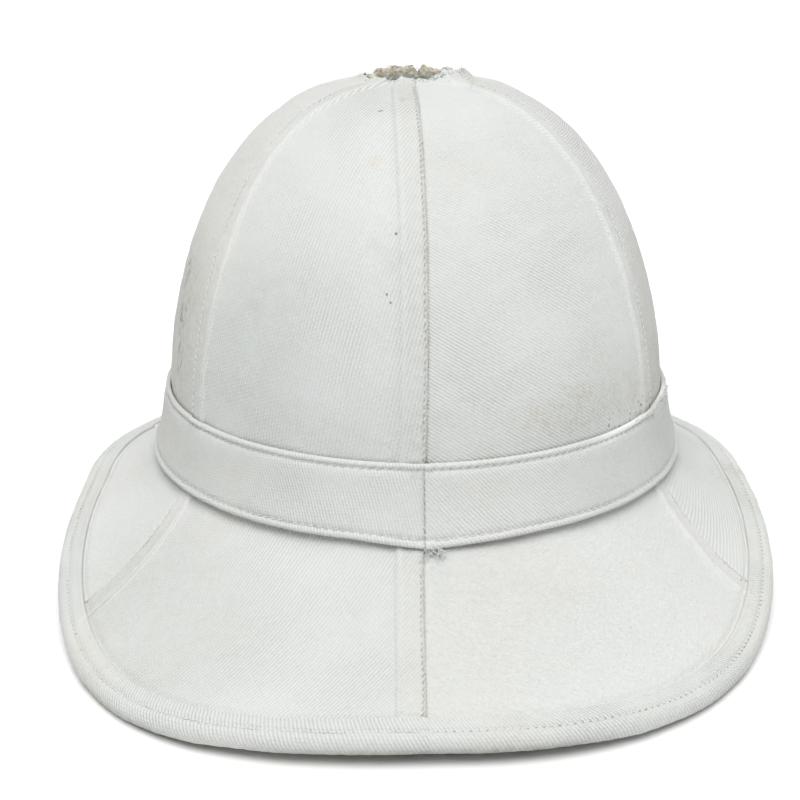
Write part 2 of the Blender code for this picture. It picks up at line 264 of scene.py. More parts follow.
def sweep(name, points, cloth_u, cloth_v, closed):
    """A closed skin through section loops: points[loop, place]. A ring closes on itself."""
    loops, size = points.shape[:2]
    faces, maps = [], []
    u = np.concatenate([cloth_u, cloth_u[:, :1]], axis=1) if cloth_u.shape[1] == size else cloth_u
    v = np.concatenate([cloth_v, cloth_v[:, :1]], axis=1) if cloth_v.shape[1] == size else cloth_v
    for a in range(loops if closed else loops - 1):
        b = (a + 1) % loops
        for i in range(size):
            j = (i + 1) % size
            faces.append((a * size + i, a * size + j, b * size + j, b * size + i))
            row = a + 1 if a + 1 < len(u) else a
            maps += [(u[a, i], v[a, i]), (u[a, i + 1], v[a, i + 1]), (u[row, i + 1], v[row, i + 1]), (u[row, i], v[row, i])]
    if not closed:
        faces.append(tuple(reversed(range(size))))
        maps += [(u[0, i], v[0, i]) for i in reversed(range(size))]
        faces.append(tuple(range((loops - 1) * size, loops * size)))
        maps += [(u[-1, i], v[-1, i]) for i in range(size)]
    mesh = bpy.data.meshes.new(name)
    mesh.from_pydata(points.reshape(-1, 3).tolist(), [], faces)
    layer = mesh.uv_layers.new(name="cloth")
    layer.data.foreach_set("uv", np.array(maps, dtype=np.float32).reshape(-1))
    piece = bpy.data.objects.new(name, mesh)
    bpy.context.scene.collection.objects.link(piece)
    return piece


def outward(piece):
    select_only(piece)
    bpy.ops.object.mode_set(mode="EDIT")
    bpy.ops.mesh.select_all(action="SELECT")
    bpy.ops.mesh.normals_make_consistent(inside=False)
    bpy.ops.object.mode_set(mode="OBJECT")


def settle(piece, material, angle=50.0):
    """Shades the piece, gives it its finish and puts it on the helmet's body."""
    select_only(piece)
    bpy.ops.object.shade_smooth_by_angle(angle=math.radians(angle))
    piece.data.materials.clear()
    piece.data.materials.append(material)
    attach(piece, "root")


# ---- materials ----


def new_group(name, inputs, outputs):
    group = bpy.data.node_groups.new(name, "ShaderNodeTree")
    for label, kind, value in inputs:
        socket = group.interface.new_socket(name=label, in_out="INPUT", socket_type=kind)
        socket.default_value = value
    for label, kind in outputs:
        group.interface.new_socket(name=label, in_out="OUTPUT", socket_type=kind)
    return group


class Tree:
    """Short names for adding and joining shader nodes."""

    def __init__(self, tree):
        self.tree = tree

    def add(self, kind, **settings):
        node = self.tree.nodes.new(kind)
        for key, value in settings.items():
            setattr(node, key, value)
        return node

    def join(self, source, target):
        self.tree.links.new(source, target)

    def put(self, socket, value):
        if hasattr(value, "is_output"):
            self.join(value, socket)
        else:
            socket.default_value = value

    def math(self, operation, first, second=None, third=None, clamp=False):
        node = self.add("ShaderNodeMath", operation=operation, use_clamp=clamp)
        for socket, value in zip(node.inputs, (first, second, third)):
            if value is not None:
                self.put(socket, value)
        return node.outputs[0]

    def ramp(self, value, low, high, to_low=0.0, to_high=1.0):
        node = self.add("ShaderNodeMapRange", interpolation_type="SMOOTHSTEP")
        for socket, item in zip(node.inputs, (value, low, high, to_low, to_high)):
            self.put(socket, item)
        return node.outputs[0]

    def noise(self, vector, scale, detail=3.0, roughness=0.55, distortion=0.0):
        node = self.add("ShaderNodeTexNoise")
        self.join(vector, node.inputs["Vector"])
        for label, value in (("Scale", scale), ("Detail", detail), ("Roughness", roughness), ("Distortion", distortion)):
            node.inputs[label].default_value = value
        return node.outputs["Fac"]

    def mix(self, factor, first, second):
        node = self.add("ShaderNodeMix", data_type="RGBA")
        self.put(node.inputs["Factor"], factor)
        self.put(node.inputs[6], first)
        self.put(node.inputs[7], second)
        return node.outputs[2]

    def spot(self, vector, centre, radius, soft):
        """1 within a radius of a place on the helmet, fading out over the soft part."""
        node = self.add("ShaderNodeVectorMath", operation="DISTANCE")
        self.join(vector, node.inputs[0])
        node.inputs[1].default_value = centre
        return self.ramp(node.outputs["Value"], radius + soft, radius)


def twill_group():
    """The ribs of cotton drill, across the cloth's own map, in metres."""
    group = new_group(
        "Twill weave",
        [("Rib", "NodeSocketFloat", 0.0012), ("Wander", "NodeSocketFloat", 0.35), ("Nap", "NodeSocketFloat", 1.0)],
        [("Height", "NodeSocketFloat"), ("Tone", "NodeSocketFloat")],
    )
    t = Tree(group)
    given = t.add("NodeGroupInput")
    cloth = t.add("ShaderNodeUVMap", uv_map="cloth").outputs[0]
    parts = t.add("ShaderNodeSeparateXYZ")
    t.join(cloth, parts.inputs[0])
    sway = t.noise(cloth, 70.0, 3.0)
    sway = t.math("MULTIPLY", t.math("SUBTRACT", sway, 0.5), given.outputs["Wander"])
    ribs = t.math("ADD", t.math("DIVIDE", parts.outputs[0], given.outputs["Rib"]), sway)
    rib = t.math("MULTIPLY_ADD", t.math("SINE", t.math("MULTIPLY", ribs, 2 * math.pi)), 0.5, 0.5)
    rib = t.math("POWER", rib, 0.75)
    floats = t.math("MULTIPLY_ADD", t.math("DIVIDE", parts.outputs[1], given.outputs["Rib"]), 1.7, t.math("FLOOR", ribs))
    floats = t.math("MULTIPLY_ADD", t.math("SINE", t.math("MULTIPLY", floats, math.pi)), 0.5, 0.5)
    fuzz = t.noise(cloth, 1900.0, 2.0, 0.7)
    crepe = t.noise(cloth, 620.0, 3.0, 0.65, 0.8)
    strength = t.ramp(t.noise(cloth, 24.0, 3.0), 0.3, 0.68, 0.4, 1.0)
    strength = t.math("MULTIPLY", strength, given.outputs["Nap"])
    height = t.math("MULTIPLY_ADD", floats, 0.4, t.math("MULTIPLY", rib, 0.8))
    grain = t.math("MULTIPLY_ADD", given.outputs["Nap"], -1.5, 2.5)
    height = t.math("MULTIPLY", height, strength)
    height = t.math("MULTIPLY_ADD", t.math("MULTIPLY_ADD", fuzz, 0.45, crepe), grain, height)
    # the tone paints the hollows between the ribs darker as painted shade, with some random crepe tone
    tone = t.math("MULTIPLY_ADD", t.math("MULTIPLY", rib, strength), 0.7, t.math("MULTIPLY", t.math("MULTIPLY", crepe, grain), 0.3))
    tone = t.math("ADD", tone, t.math("MULTIPLY_ADD", strength, -0.35, 0.35))
    out = t.add("NodeGroupOutput")
    t.join(height, out.inputs["Height"])
    t.join(tone, out.inputs["Tone"])
    return group


def soil_group():
    """Age on white cotton, in the helmet's own space: yellowing, grey rubbing and small dark specks."""
    group = new_group(
        "Soiling",
        [("Amount", "NodeSocketFloat", 1.0)],
        [(label, "NodeSocketFloat") for label in ("Yellow", "Grey", "Specks", "Broken", "Dots", "Scratches")],
    )
    t = Tree(group)
    given = t.add("NodeGroupInput")
    place = t.add("ShaderNodeTexCoord").outputs["Object"]
    cloud = t.noise(place, 22.0, 4.0, 0.6, 0.4)
    fine = t.noise(place, 160.0, 4.0, 0.65)
    yellow = t.math("MULTIPLY", t.ramp(cloud, 0.48, 0.75), t.ramp(fine, 0.35, 0.7, 0.4, 1.0))
    grey = t.math("MULTIPLY", t.ramp(t.noise(place, 31.0, 3.0, 0.6), 0.5, 0.8), t.ramp(fine, 0.4, 0.62))
    cells = t.add("ShaderNodeTexVoronoi")
    t.join(place, cells.inputs["Vector"])
    cells.inputs["Scale"].default_value = 110.0
    tiny = t.ramp(cells.outputs["Distance"], 0.06, 0.02)
    chance = t.ramp(t.noise(place, 47.0, 1.0), 0.62, 0.66)
    broken = t.math("MULTIPLY", t.ramp(t.noise(place, 640.0, 4.0, 0.7), 0.4, 0.62), t.ramp(fine, 0.34, 0.6))
    close = t.add("ShaderNodeTexVoronoi")
    t.join(place, close.inputs["Vector"])
    close.inputs["Scale"].default_value = 430.0
    dots = t.math("MULTIPLY", t.ramp(close.outputs["Distance"], 0.32, 0.2), t.ramp(t.noise(place, 260.0, 1.0), 0.47, 0.53))
    drawn = t.add("ShaderNodeMapping")
    t.join(place, drawn.inputs["Vector"])
    drawn.inputs["Scale"].default_value = (1.0, 1.0, 0.16)
    drawn.inputs["Rotation"].default_value = (0.0, math.radians(14), 0.0)
    scratches = t.ramp(t.noise(drawn.outputs[0], 760.0, 3.0, 0.6), 0.54, 0.59)
    out = t.add("NodeGroupOutput")
    for label, value in (("Yellow", yellow), ("Grey", grey), ("Specks", t.math("MULTIPLY", tiny, chance))):
        t.join(t.math("MULTIPLY", value, given.outputs["Amount"]), out.inputs[label])
    for label, value in (("Broken", broken), ("Dots", dots), ("Scratches", scratches)):
        t.join(value, out.inputs[label])
    return group


TWILL = twill_group()
SOIL = soil_group()

WHITE = (0.765, 0.766, 0.752, 1.0)
# painted shade: the colour of the hollows between the twill's ribs
RIB_HOLLOW_SHADE = (0.57, 0.588, 0.585, 1.0)
# painted highlight: the near-white that lights up the seam ridges
RIDGE_HIGHLIGHT = (0.90, 0.90, 0.885, 1.0)
# the binding's painted rib-hollow shade, and its white
BINDING_TONES = ((0.53, 0.545, 0.53, 1.0), (0.775, 0.775, 0.76, 1.0))
TINTS = {
    "yellow": (0.66, 0.59, 0.44, 1.0),
    "grey": (0.44, 0.44, 0.40, 1.0),
    "beige": (0.56, 0.52, 0.42, 1.0),
    "brown": (0.36, 0.28, 0.18, 1.0),
    "dark": (0.10, 0.09, 0.08, 1.0),
    "olive": (0.25, 0.25, 0.19, 1.0),
    "soot": (0.20, 0.19, 0.17, 1.0),
    # painted shade colour: a cool grey-green for the lower crown and band, where less light reaches
    "cool": (0.38, 0.43, 0.41, 1.0),
    "chalk": (0.92, 0.92, 0.905, 1.0),
}

# kind, middle and reach in millimetres on the helmet, strength, and how broken up it is
STAINS = (
    ("beige", (50, -86, 78), (36, 26, 12), 0.62, 0.85),
    ("beige", (72, -64, 76), (20, 18, 12), 0.50, 0.85),
    # painted shade: the crown's left and right sides greyed darker, where less light falls on them
    ("grey", (100, -12, 84), (36, 88, 70), 0.56, 0.4),
    ("grey", (-100, -10, 84), (42, 88, 70), 0.74, 0.4),
    ("grey", (86, -38, 74), (14, 22, 20), 0.24, 0.8),
    ("beige", (62, -74, 96), (24, 16, 16), 0.26, 0.9),
    ("grey", (-86, -20, 100), (12, 26, 26), 0.34, 0.95),
    ("yellow", (-66, -60, 84), (16, 22, 18), 0.20, 0.9),
    ("brown", (-5.5, -19, 173.4), (2.6, 3.2, 2), 0.42, 0.7),
    ("yellow", (-15.9, -50.9, 158.4), (3.2, 4, 4), 0.42, 0.5),
    ("yellow", (-18, -6, 174), (7, 8, 4), 0.40, 0.85),
    ("yellow", (-24, 4, 173), (7, 10, 5), 0.35, 0.85),
    ("grey", (22.8, 0.6, 174), (6, 8, 4), 0.34, 0.9),
    ("yellow", (19, 16, 174), (7, 12, 5), 0.34, 0.9),
    ("dark", (-13.3, -25.6, 171.1), (1.1, 0.6, 0.6), 0.80, 0.15),
    ("dark", (-9.8, -73.5, 138.4), (0.5, 0.6, 0.6), 0.85, 0.1),
    ("dark", (-13.5, -84.9, 120.6), (0.4, 0.6, 0.5), 0.80, 0.1),
    ("dark", (-12.3, -86.5, 118.2), (0.4, 0.6, 0.5), 0.80, 0.1),
    ("yellow", (-2.0, -19, 173), (1.6, 8, 4), 0.5, 0.6),
    ("brown", (121.3, -12, 21), (9, 10, 5), 0.30, 0.95),
    ("grey", (-118, 58, 15), (8, 12, 6), 0.35, 0.9),
    ("grey", (4, -140, 26), (110, 56, 30), 0.16, 0.2),
    ("dots", (72, -68, 66), (34, 28, 9), 0.85, 0.2),
    ("dots", (92, -30, 70), (14, 24, 10), 0.75, 0.2),
    ("scratches", (-86.4, -9, 106), (7, 8, 11), 1.0, 0.1),
    ("scratches", (-87.5, -19, 94), (7, 8, 11), 1.0, 0.1),
    ("scratches", (-88.6, -26, 80), (6, 6, 11), 0.8, 0.1),
    # painted shade: the lower crown darker and cooler where less light reaches it
    ("cool", (0, -100, 66), (115, 60, 34), 0.11, 0.25),
    ("cool", (-40, -90, 100), (75, 55, 55), 0.12, 0.3),
    ("cool", (-66, -76, 100), (40, 44, 52), 0.24, 0.3),
    ("cool", (66, -74, 74), (40, 44, 30), 0.16, 0.3),
    ("grey", (-96, -110, 16), (64, 84, 34), 0.36, 0.3),
)
BAND_STAINS = (
    ("brown", (93, -28, 62), (8, 22, 6), 0.40, 0.95),
    # painted shade: the band's left and right sides greyed darker, where less light falls on them
    ("grey", (99, -10, 50), (44, 90, 30), 0.55, 0.3),
    ("grey", (-99, -10, 50), (44, 90, 30), 0.48, 0.3),
    ("grey", (2, -122, 55), (10, 10, 12), 0.10, 0.7),
    ("dark", (6.5, -119.6, 62.0), (0.5, 1.5, 0.5), 0.6, 0.1),
    # painted shade: the band's front darker and cooler where less light reaches it
    ("cool", (-62, -80, 50), (46, 50, 30), 0.13, 0.2),
    ("cool", (72, -66, 50), (50, 66, 30), 0.24, 0.2),
    ("chalk", (89, -32, 62.6), (14, 22, 2.6), 0.8, 0.1),
    ("chalk", (68, -72, 65.4), (24, 26, 2.4), 0.7, 0.1),
    ("dots", (90, -32, 62.4), (9, 18, 2.6), 0.75, 0.2),
)
BINDING_STAINS = (
    ("grey", (0, -182, 4.0), (110, 18, 6.4), 0.30, 0.4),
    ("olive", (0, -184, 3.6), (120, 18, 4.2), 0.8, 0.45),
    ("olive", (-100, -150, 0.2), (60, 56, 5.2), 0.62, 0.5),
    ("olive", (100, -150, 0.0), (60, 56, 4.6), 0.5, 0.5),
    ("grey", (-120, -90, 3.0), (44, 90, 6.6), 0.30, 0.5),
    ("yellow", (-60, -172, 3.0), (60, 20, 4.0), 0.26, 0.7),
    ("grey", (120, -90, 3.0), (44, 90, 6.0), 0.34, 0.6),
    ("brown", (128, -2, 20), (8, 13, 6), 0.36, 0.95),
    ("dark", (112, -140, 6.0), (2.0, 2.0, 1.5), 0.55, 0.6),
)


def cloth_material(name, rib=1.2 * MM, relief=0.28 * MM, stains=(), soil=1.0, wander=0.35, marked=False, smooth_right=False, tones=(RIB_HOLLOW_SHADE, WHITE)):
    """White drill, with its age and its own stains; the stains and marks also hold painted shade and painted
    highlights, and the weave's hollows are painted darker.
    """
    material = bpy.data.materials.new(name)
    material.use_nodes = True
    t = Tree(material.node_tree)
    shader = material.node_tree.nodes["Principled BSDF"]
    weave = t.add("ShaderNodeGroup", node_tree=TWILL)
    weave.inputs["Rib"].default_value = rib
    weave.inputs["Wander"].default_value = wander
    age = t.add("ShaderNodeGroup", node_tree=SOIL)
    age.inputs["Amount"].default_value = soil
    place = t.add("ShaderNodeTexCoord").outputs["Object"]
    # painted shade in the weave's hollows, from the ribs' tone
    colour = t.mix(weave.outputs["Tone"], *tones)
    if smooth_right:
        sides = t.add("ShaderNodeSeparateXYZ")
        t.join(place, sides.inputs[0])
        t.join(t.ramp(sides.outputs[0], 25.0 * MM, 75.0 * MM, 0.9, 0.3), weave.inputs["Nap"])
    if marked:
        t.join(t.add("ShaderNodeAttribute", attribute_name="nap").outputs["Fac"], weave.inputs["Nap"])
        worn = t.add("ShaderNodeAttribute", attribute_name="worn").outputs["Fac"]
        fold = t.add("ShaderNodeAttribute", attribute_name="fold").outputs["Fac"]
        ridge_highlight = t.add("ShaderNodeAttribute", attribute_name="ridge_highlight").outputs["Fac"]
        broken = t.math("MULTIPLY_ADD", age.outputs["Broken"], 0.5, 0.5)
        colour = t.mix(t.math("MULTIPLY", t.math("MULTIPLY", worn, broken), 0.18), colour, TINTS["beige"])
        # painted shade: a thin brown-grey line in each seam's fold and on the cover just inside the binding
        colour = t.mix(t.math("MULTIPLY", t.math("MULTIPLY", fold, broken), 0.5), colour, TINTS["brown"])
        # painted highlight: the seam ridges lightened towards near-white, broken up a little
        colour = t.mix(t.math("MULTIPLY", t.math("MULTIPLY", ridge_highlight, broken), 0.7), colour, RIDGE_HIGHLIGHT)
    colour = t.mix(t.math("MULTIPLY", age.outputs["Yellow"], 0.18), colour, TINTS["yellow"])
    colour = t.mix(t.math("MULTIPLY", age.outputs["Grey"], 0.14), colour, TINTS["grey"])
    for kind, middle, reach, strength, breaks in stains:
        away = t.add("ShaderNodeVectorMath", operation="SUBTRACT")
        t.join(place, away.inputs[0])
        away.inputs[1].default_value = [c * MM for c in middle]
        scaled = t.add("ShaderNodeVectorMath", operation="DIVIDE")
        t.join(away.outputs[0], scaled.inputs[0])
        scaled.inputs[1].default_value = [c * MM for c in reach]
        size = t.add("ShaderNodeVectorMath", operation="LENGTH")
        t.join(scaled.outputs[0], size.inputs[0])
        spot = t.ramp(size.outputs["Value"], 1.0, 0.8 if kind == "dark" else 0.35)
        pattern = age.outputs[kind.title() if kind in ("dots", "scratches") else "Broken"]
        patchy = t.math("MULTIPLY", pattern, 1.0) if kind in ("dots", "scratches") else t.math("MULTIPLY_ADD", pattern, breaks, 1 - breaks)
        colour = t.mix(t.math("MULTIPLY", t.math("MULTIPLY", spot, patchy), strength), colour, TINTS.get(kind, TINTS["soot"]))
    colour = t.mix(t.math("MULTIPLY", age.outputs["Specks"], 0.55), colour, TINTS["dark"])
    t.join(colour, shader.inputs["Base Color"])
    t.join(t.math("MULTIPLY_ADD", age.outputs["Grey"], -0.1, 0.9), shader.inputs["Roughness"])
    shader.inputs["Specular IOR Level"].default_value = 0.25
    shader.inputs["Sheen Weight"].default_value = 0.10
    shader.inputs["Sheen Roughness"].default_value = 0.6
    bump = t.add("ShaderNodeBump")
    bump.inputs["Strength"].default_value = 0.9
    bump.inputs["Distance"].default_value = relief
    t.join(weave.outputs["Height"], bump.inputs["Height"])
    t.join(bump.outputs[0], shader.inputs["Normal"])
    return material


def dark_material():
    """The needle holes, where the cloth is drawn down into shadow and dust."""
    material = bpy.data.materials.new("needle_holes")
    material.use_nodes = True
    t = Tree(material.node_tree)
    shader = material.node_tree.nodes["Principled BSDF"]
    place = t.add("ShaderNodeTexCoord").outputs["Object"]
    shade = t.noise(place, 700.0, 2.0)
    t.join(t.mix(shade, (0.30, 0.28, 0.24, 1.0), (0.52, 0.50, 0.45, 1.0)), shader.inputs["Base Color"])
    shader.inputs["Roughness"].default_value = 1.0
    shader.inputs["Specular IOR Level"].default_value = 0.0
    return material


def cork_material():
    """Crumbled cork round the hole, and the plain grey-green face of the inside."""
    material = bpy.data.materials.new("cork")
    material.use_nodes = True
    t = Tree(material.node_tree)
    shader = material.node_tree.nodes["Principled BSDF"]
    place = t.add("ShaderNodeTexCoord").outputs["Object"]
    grain = t.noise(place, 420.0, 5.0, 0.7, 0.5)
    clump = t.add("ShaderNodeTexVoronoi")
    t.join(place, clump.inputs["Vector"])
    clump.inputs["Scale"].default_value = 520.0
    lump = t.ramp(clump.outputs["Distance"], 0.0, 0.7)
    tan = t.mix(t.ramp(grain, 0.36, 0.62), (0.44, 0.38, 0.27, 1.0), (0.84, 0.80, 0.70, 1.0))
    tan = t.mix(t.math("MULTIPLY", lump, 0.4), tan, (0.50, 0.44, 0.33, 1.0))
    # painted shade: dark brown in the low places of the grain, for the crevices of the crumbled lip
    tan = t.mix(t.ramp(grain, 0.42, 0.34, 0.0, 0.7), tan, (0.22, 0.18, 0.12, 1.0))
    inside = t.mix(t.noise(place, 60.0, 3.0), (0.40, 0.43, 0.38, 1.0), (0.54, 0.56, 0.50, 1.0))
    parts = t.add("ShaderNodeSeparateXYZ")
    t.join(place, parts.inputs[0])
    level = t.math("MULTIPLY_ADD", t.noise(place, 260.0, 3.0), 3.0 * MM, parts.outputs[2])
    lip = t.math("MULTIPLY", t.spot(place, HOLE_CENTRE, 19.5 * MM, 3.0 * MM), t.ramp(level, 175.0 * MM, 176.0 * MM))
    lip = t.math("MULTIPLY", lip, t.ramp(parts.outputs[0], 15.0 * MM, 12.0 * MM, 0.6, 1.0))
    colour = t.mix(lip, inside, tan)
    t.join(colour, shader.inputs["Base Color"])
    t.join(t.ramp(grain, 0.2, 0.8, 0.98, 0.85), shader.inputs["Roughness"])
    shader.inputs["Specular IOR Level"].default_value = 0.2
    bump = t.add("ShaderNodeBump")
    bump.inputs["Strength"].default_value = 0.9
    bump.inputs["Distance"].default_value = 0.8 * MM
    t.join(t.math("MULTIPLY_ADD", lump, 0.5, grain), bump.inputs["Height"])
    t.join(bump.outputs[0], shader.inputs["Normal"])
    return material


# ---- the six gores ----

STRIP_SHARES = (0, 0.025, 0.05, 0.08, 0.11, 0.15, 0.19, 0.24, 0.32, 0.45, 0.58, 0.66, 0.7, 0.735, 0.77, 0.805, 0.84, 0.875, 0.91, 0.95, 1.0)
MIDDLE_STEPS = 20
STITCH = 2.5 * MM
FOLD_STITCH = 1.0 * MM  # from a seam's fold to its stitches


def gore_ways():
    """The rows of a gore, close together at the torn edge and along the brim."""
    crown = -1 + np.linspace(0, 1, 150) ** 1.1
    foot = np.linspace(0, 1, 10)[1:]
    brim = 1 + np.concatenate([np.linspace(0, 0.76, 34)[1:], np.linspace(0.76, 0.94, 34)[1:], np.linspace(0.94, 1, 4)[1:]])
    return np.concatenate([crown, foot, brim])


def gore_grid(gore, ways):
    """Angles and ways of a gore's points, with its strips always at the same columns."""
    shares = np.array(STRIP_SHARES)
    start, end = seam_angles(gore, ways), seam_angles(gore + 1, ways)
    first = turned_by(start, 1, ways, SEAM_WIDTH, PITCH * SEAM_MOST_SHARE)[:, None]
    last = turned_by(end, -1, ways, SEAM_WIDTH, PITCH * SEAM_MOST_SHARE)[:, None]
    start, end = start[:, None], end[:, None]
    middle = np.linspace(0, 1, MIDDLE_STEPS + 1)[None, 1:-1]
    angle = np.concatenate(
        [start + first * shares, start + first + (end - start - first - last) * middle, end - last * shares[::-1]], axis=1
    )
    return angle, np.repeat(ways[:, None], angle.shape[1], axis=1)


def seam_relief(away, width, down, seed):
    """The form of turnings under the cloth, by the distance away from the fold, in metres."""
    rise = SEAM_RISE * smooth((width - away) / (1.5 * MM))
    ridge = 0.30 * MM * np.exp(-(((away - width + 2.1 * MM) / (1.0 * MM)) ** 2))
    ridge = ridge * (1 + 0.38 * np.cos(2 * math.pi * (away - width + 2.1 * MM) / (0.95 * MM)))
    hollow = -0.16 * MM * np.exp(-(((away - 0.5 * width) / (1.8 * MM)) ** 2))
    groove = -0.24 * MM * np.exp(-(((away - width - 0.3 * MM) / (0.9 * MM)) ** 2))
    fold = -0.8 * MM * (1 - smooth(away / (0.8 * MM)))
    beat = 0.6 + 0.4 * np.cos(2 * math.pi * down / STITCH)
    stitched = -0.42 * MM * beat * np.exp(-(((away - FOLD_STITCH) / (0.42 * MM)) ** 2))
    pucker = np.sin(2 * math.pi * down / (6.1 * MM) + 2.0 * np.sin(down / (19 * MM) + seed))
    pucker = 0.10 * MM * pucker * np.exp(-(((away - 3.4 * MM) / (2.2 * MM)) ** 2))
    return rise + ridge + hollow + groove + fold + stitched + pucker


def torn_flap(angle):
    """How far the torn edge stands up: a frayed flap on the right, and a low one on the left."""
    turn = (angle + math.pi) % (2 * math.pi) - math.pi
    right = smooth((turn - 0.20) / 0.6) * (1 - smooth((turn - 1.55) / 0.5))
    left = smooth((-turn - 0.45) / 0.5) * (1 - smooth((-turn - 1.7) / 0.5))
    return 3.4 * MM * right + 1.0 * MM * left + 1.2 * MM * (1 - smooth(np.abs(turn) / 1.1))


def make_gore(gore, material):
    name, held_first, held_last, twill, rib = GORES[gore]
    ways = gore_ways()
    angle, way = gore_grid(gore, ways)
    points = cover_surface(angle, way)
    normal = grid_normals(points)
    across, down = along(points, 1), along(points, 0)
    middle = across.shape[1] // 2
    down_mid = np.repeat(down[:, middle : middle + 1], across.shape[1], axis=1)
    from_first, from_last = across, across[:, -1:] - across
    strip = len(STRIP_SHARES) - 1
    width_first, width_last = across[:, strip : strip + 1], across[:, -1:] - across[:, -1 - strip, None]
    uneven = 0.22 * MM if name.startswith("rear") else 0.12 * MM
    relief = uneven * ripple(points, 34 * MM, gore) + 0.10 * MM * ripple(points, 12 * MM, gore + 5)
    worn, fold, ridge_highlight = np.zeros_like(across), np.zeros_like(across), np.zeros_like(across)
    for held, away, width, rear in (
        (held_first, from_first, width_first, gore == 0),
        (held_last, from_last, width_last, gore == len(GORES) - 1),
    ):
        if held:
            relief = relief + seam_relief(away, width, down_mid, gore)
            worn = np.maximum(worn, smooth((width - 2.4 * MM - away) / (1.2 * MM)))
            # painted highlight along each seam's ridge, a few fine lines wide
            shine = np.where(way < 0.5, 0.2 if rear else 0.75, 0.2 if rear else 0.4)
            from_ridge = away - width + 2.1 * MM
            lines = 0.6 + 0.4 * np.cos(2 * math.pi * from_ridge / (0.95 * MM))
            ridge_highlight = np.maximum(ridge_highlight, shine * lines * np.exp(-((from_ridge / (1.4 * MM)) ** 2)))
        else:
            relief = relief - 0.45 * MM * (1 - smooth(away / (1.0 * MM)))
        # painted shade in each seam's fold
        fold = np.maximum(fold, 1 - smooth((away - 0.05 * MM) / (0.5 * MM)))
    # the binding's stitches draw the cover down along its inner edge
    to_edge = down[-1:] - down
    relief = relief - 0.45 * MM * np.exp(-(((to_edge - BINDING_TOP - 1.1 * MM) / (1.1 * MM)) ** 2))
    # painted shade: a faint dark line on the cover just inside the binding
    fold = np.maximum(fold, 0.3 * np.exp(-(((to_edge - BINDING_TOP - 1.2 * MM) / (0.5 * MM)) ** 2)))
    torn = smooth(1 - down / (4.0 * MM))
    curl = 0.5 + 0.5 * np.sin(angle * 9 + 1.3) * np.sin(angle * 4 + 0.4)
    flap = torn_flap(angle) * smooth(1 - down / (8.0 * MM))
    relief = relief + torn * curl * 0.7 * MM + flap + torn * 0.3 * MM * ripple(points, 1.6 * MM, gore + 9)
    shaped = points + normal * relief[..., None]
    # the torn edge: bites and short points, drawn back along the cloth
    inward = points[0] - points[1]
    inward /= np.linalg.norm(inward, axis=-1, keepdims=True)
    bite = np.sin(angle[0] * 61 + 2 * np.sin(angle[0] * 17)) * 0.5 + np.sin(angle[0] * 143 + gore) * 0.4
    shaped += inward[None] * (bite * 0.8 * MM * torn)[..., None]
    u = (across - across[:, middle : middle + 1]) * (1.2 * MM / rib)
    v = down_mid * (1.2 * MM / rib)
    lean = math.radians(twill)
    # on the brim the right side is worn smooth, and beside the rear strip the left side is
    brim = smooth((way - 0.9) / 0.2)
    beside = smooth(1 - np.abs(from_last - 17 * MM) / (9 * MM))
    top = 1 - smooth((down_mid - 25 * MM) / (45 * MM))
    nap = 1 - {
        "rear_right": 0.75 * brim + 0.35 * top + 0.55 * (1 - brim) * smooth(1 - from_last / (55 * MM)) * smooth((down_mid - 60 * MM) / (50 * MM)),
        "rear_left": 0.45 * beside * (1 - brim) * (1 - top) - 0.5 * top,
        "side_left": 0.6 + 0 * brim,
    }.get(name, 0 * brim)
    if name.startswith("side"):
        worn = np.maximum(worn, 1 - brim)
    piece = cut_sheet(
        f"cover_{name}",
        shaped,
        u * math.sin(lean) + v * math.cos(lean),
        u * math.cos(lean) - v * math.sin(lean),
        {"worn": worn, "fold": fold, "nap": nap, "ridge_highlight": ridge_highlight},
    )
    thicken(piece, 0.85 * CLOTH)
    settle(piece, material)
    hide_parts(f"gore_{name}")
    return piece


# ---- the moulded cork ----


# where the lip is broken lower or stands higher: middle and spread round the hole, and depth in millimetres
LIP_LOWS = ((2.44, 0.12, 1.0), (2.76, 0.06, -0.8), (2.94, 0.09, 3.2), (3.10, 0.11, 1.2), (3.78, 0.12, -0.5), (4.35, 0.22, 1.8))


def lip_height(angle):
    """How high the crumbled cork stands above the cloth: lumps at the front, nothing at the rear."""
    front = smooth(0.5 - 0.62 * np.cos(angle))
    return (LIP_RISE - tear(angle - 2.26, LIP_CRUMBLE)) * front - LIP_DROP * (1 - front)


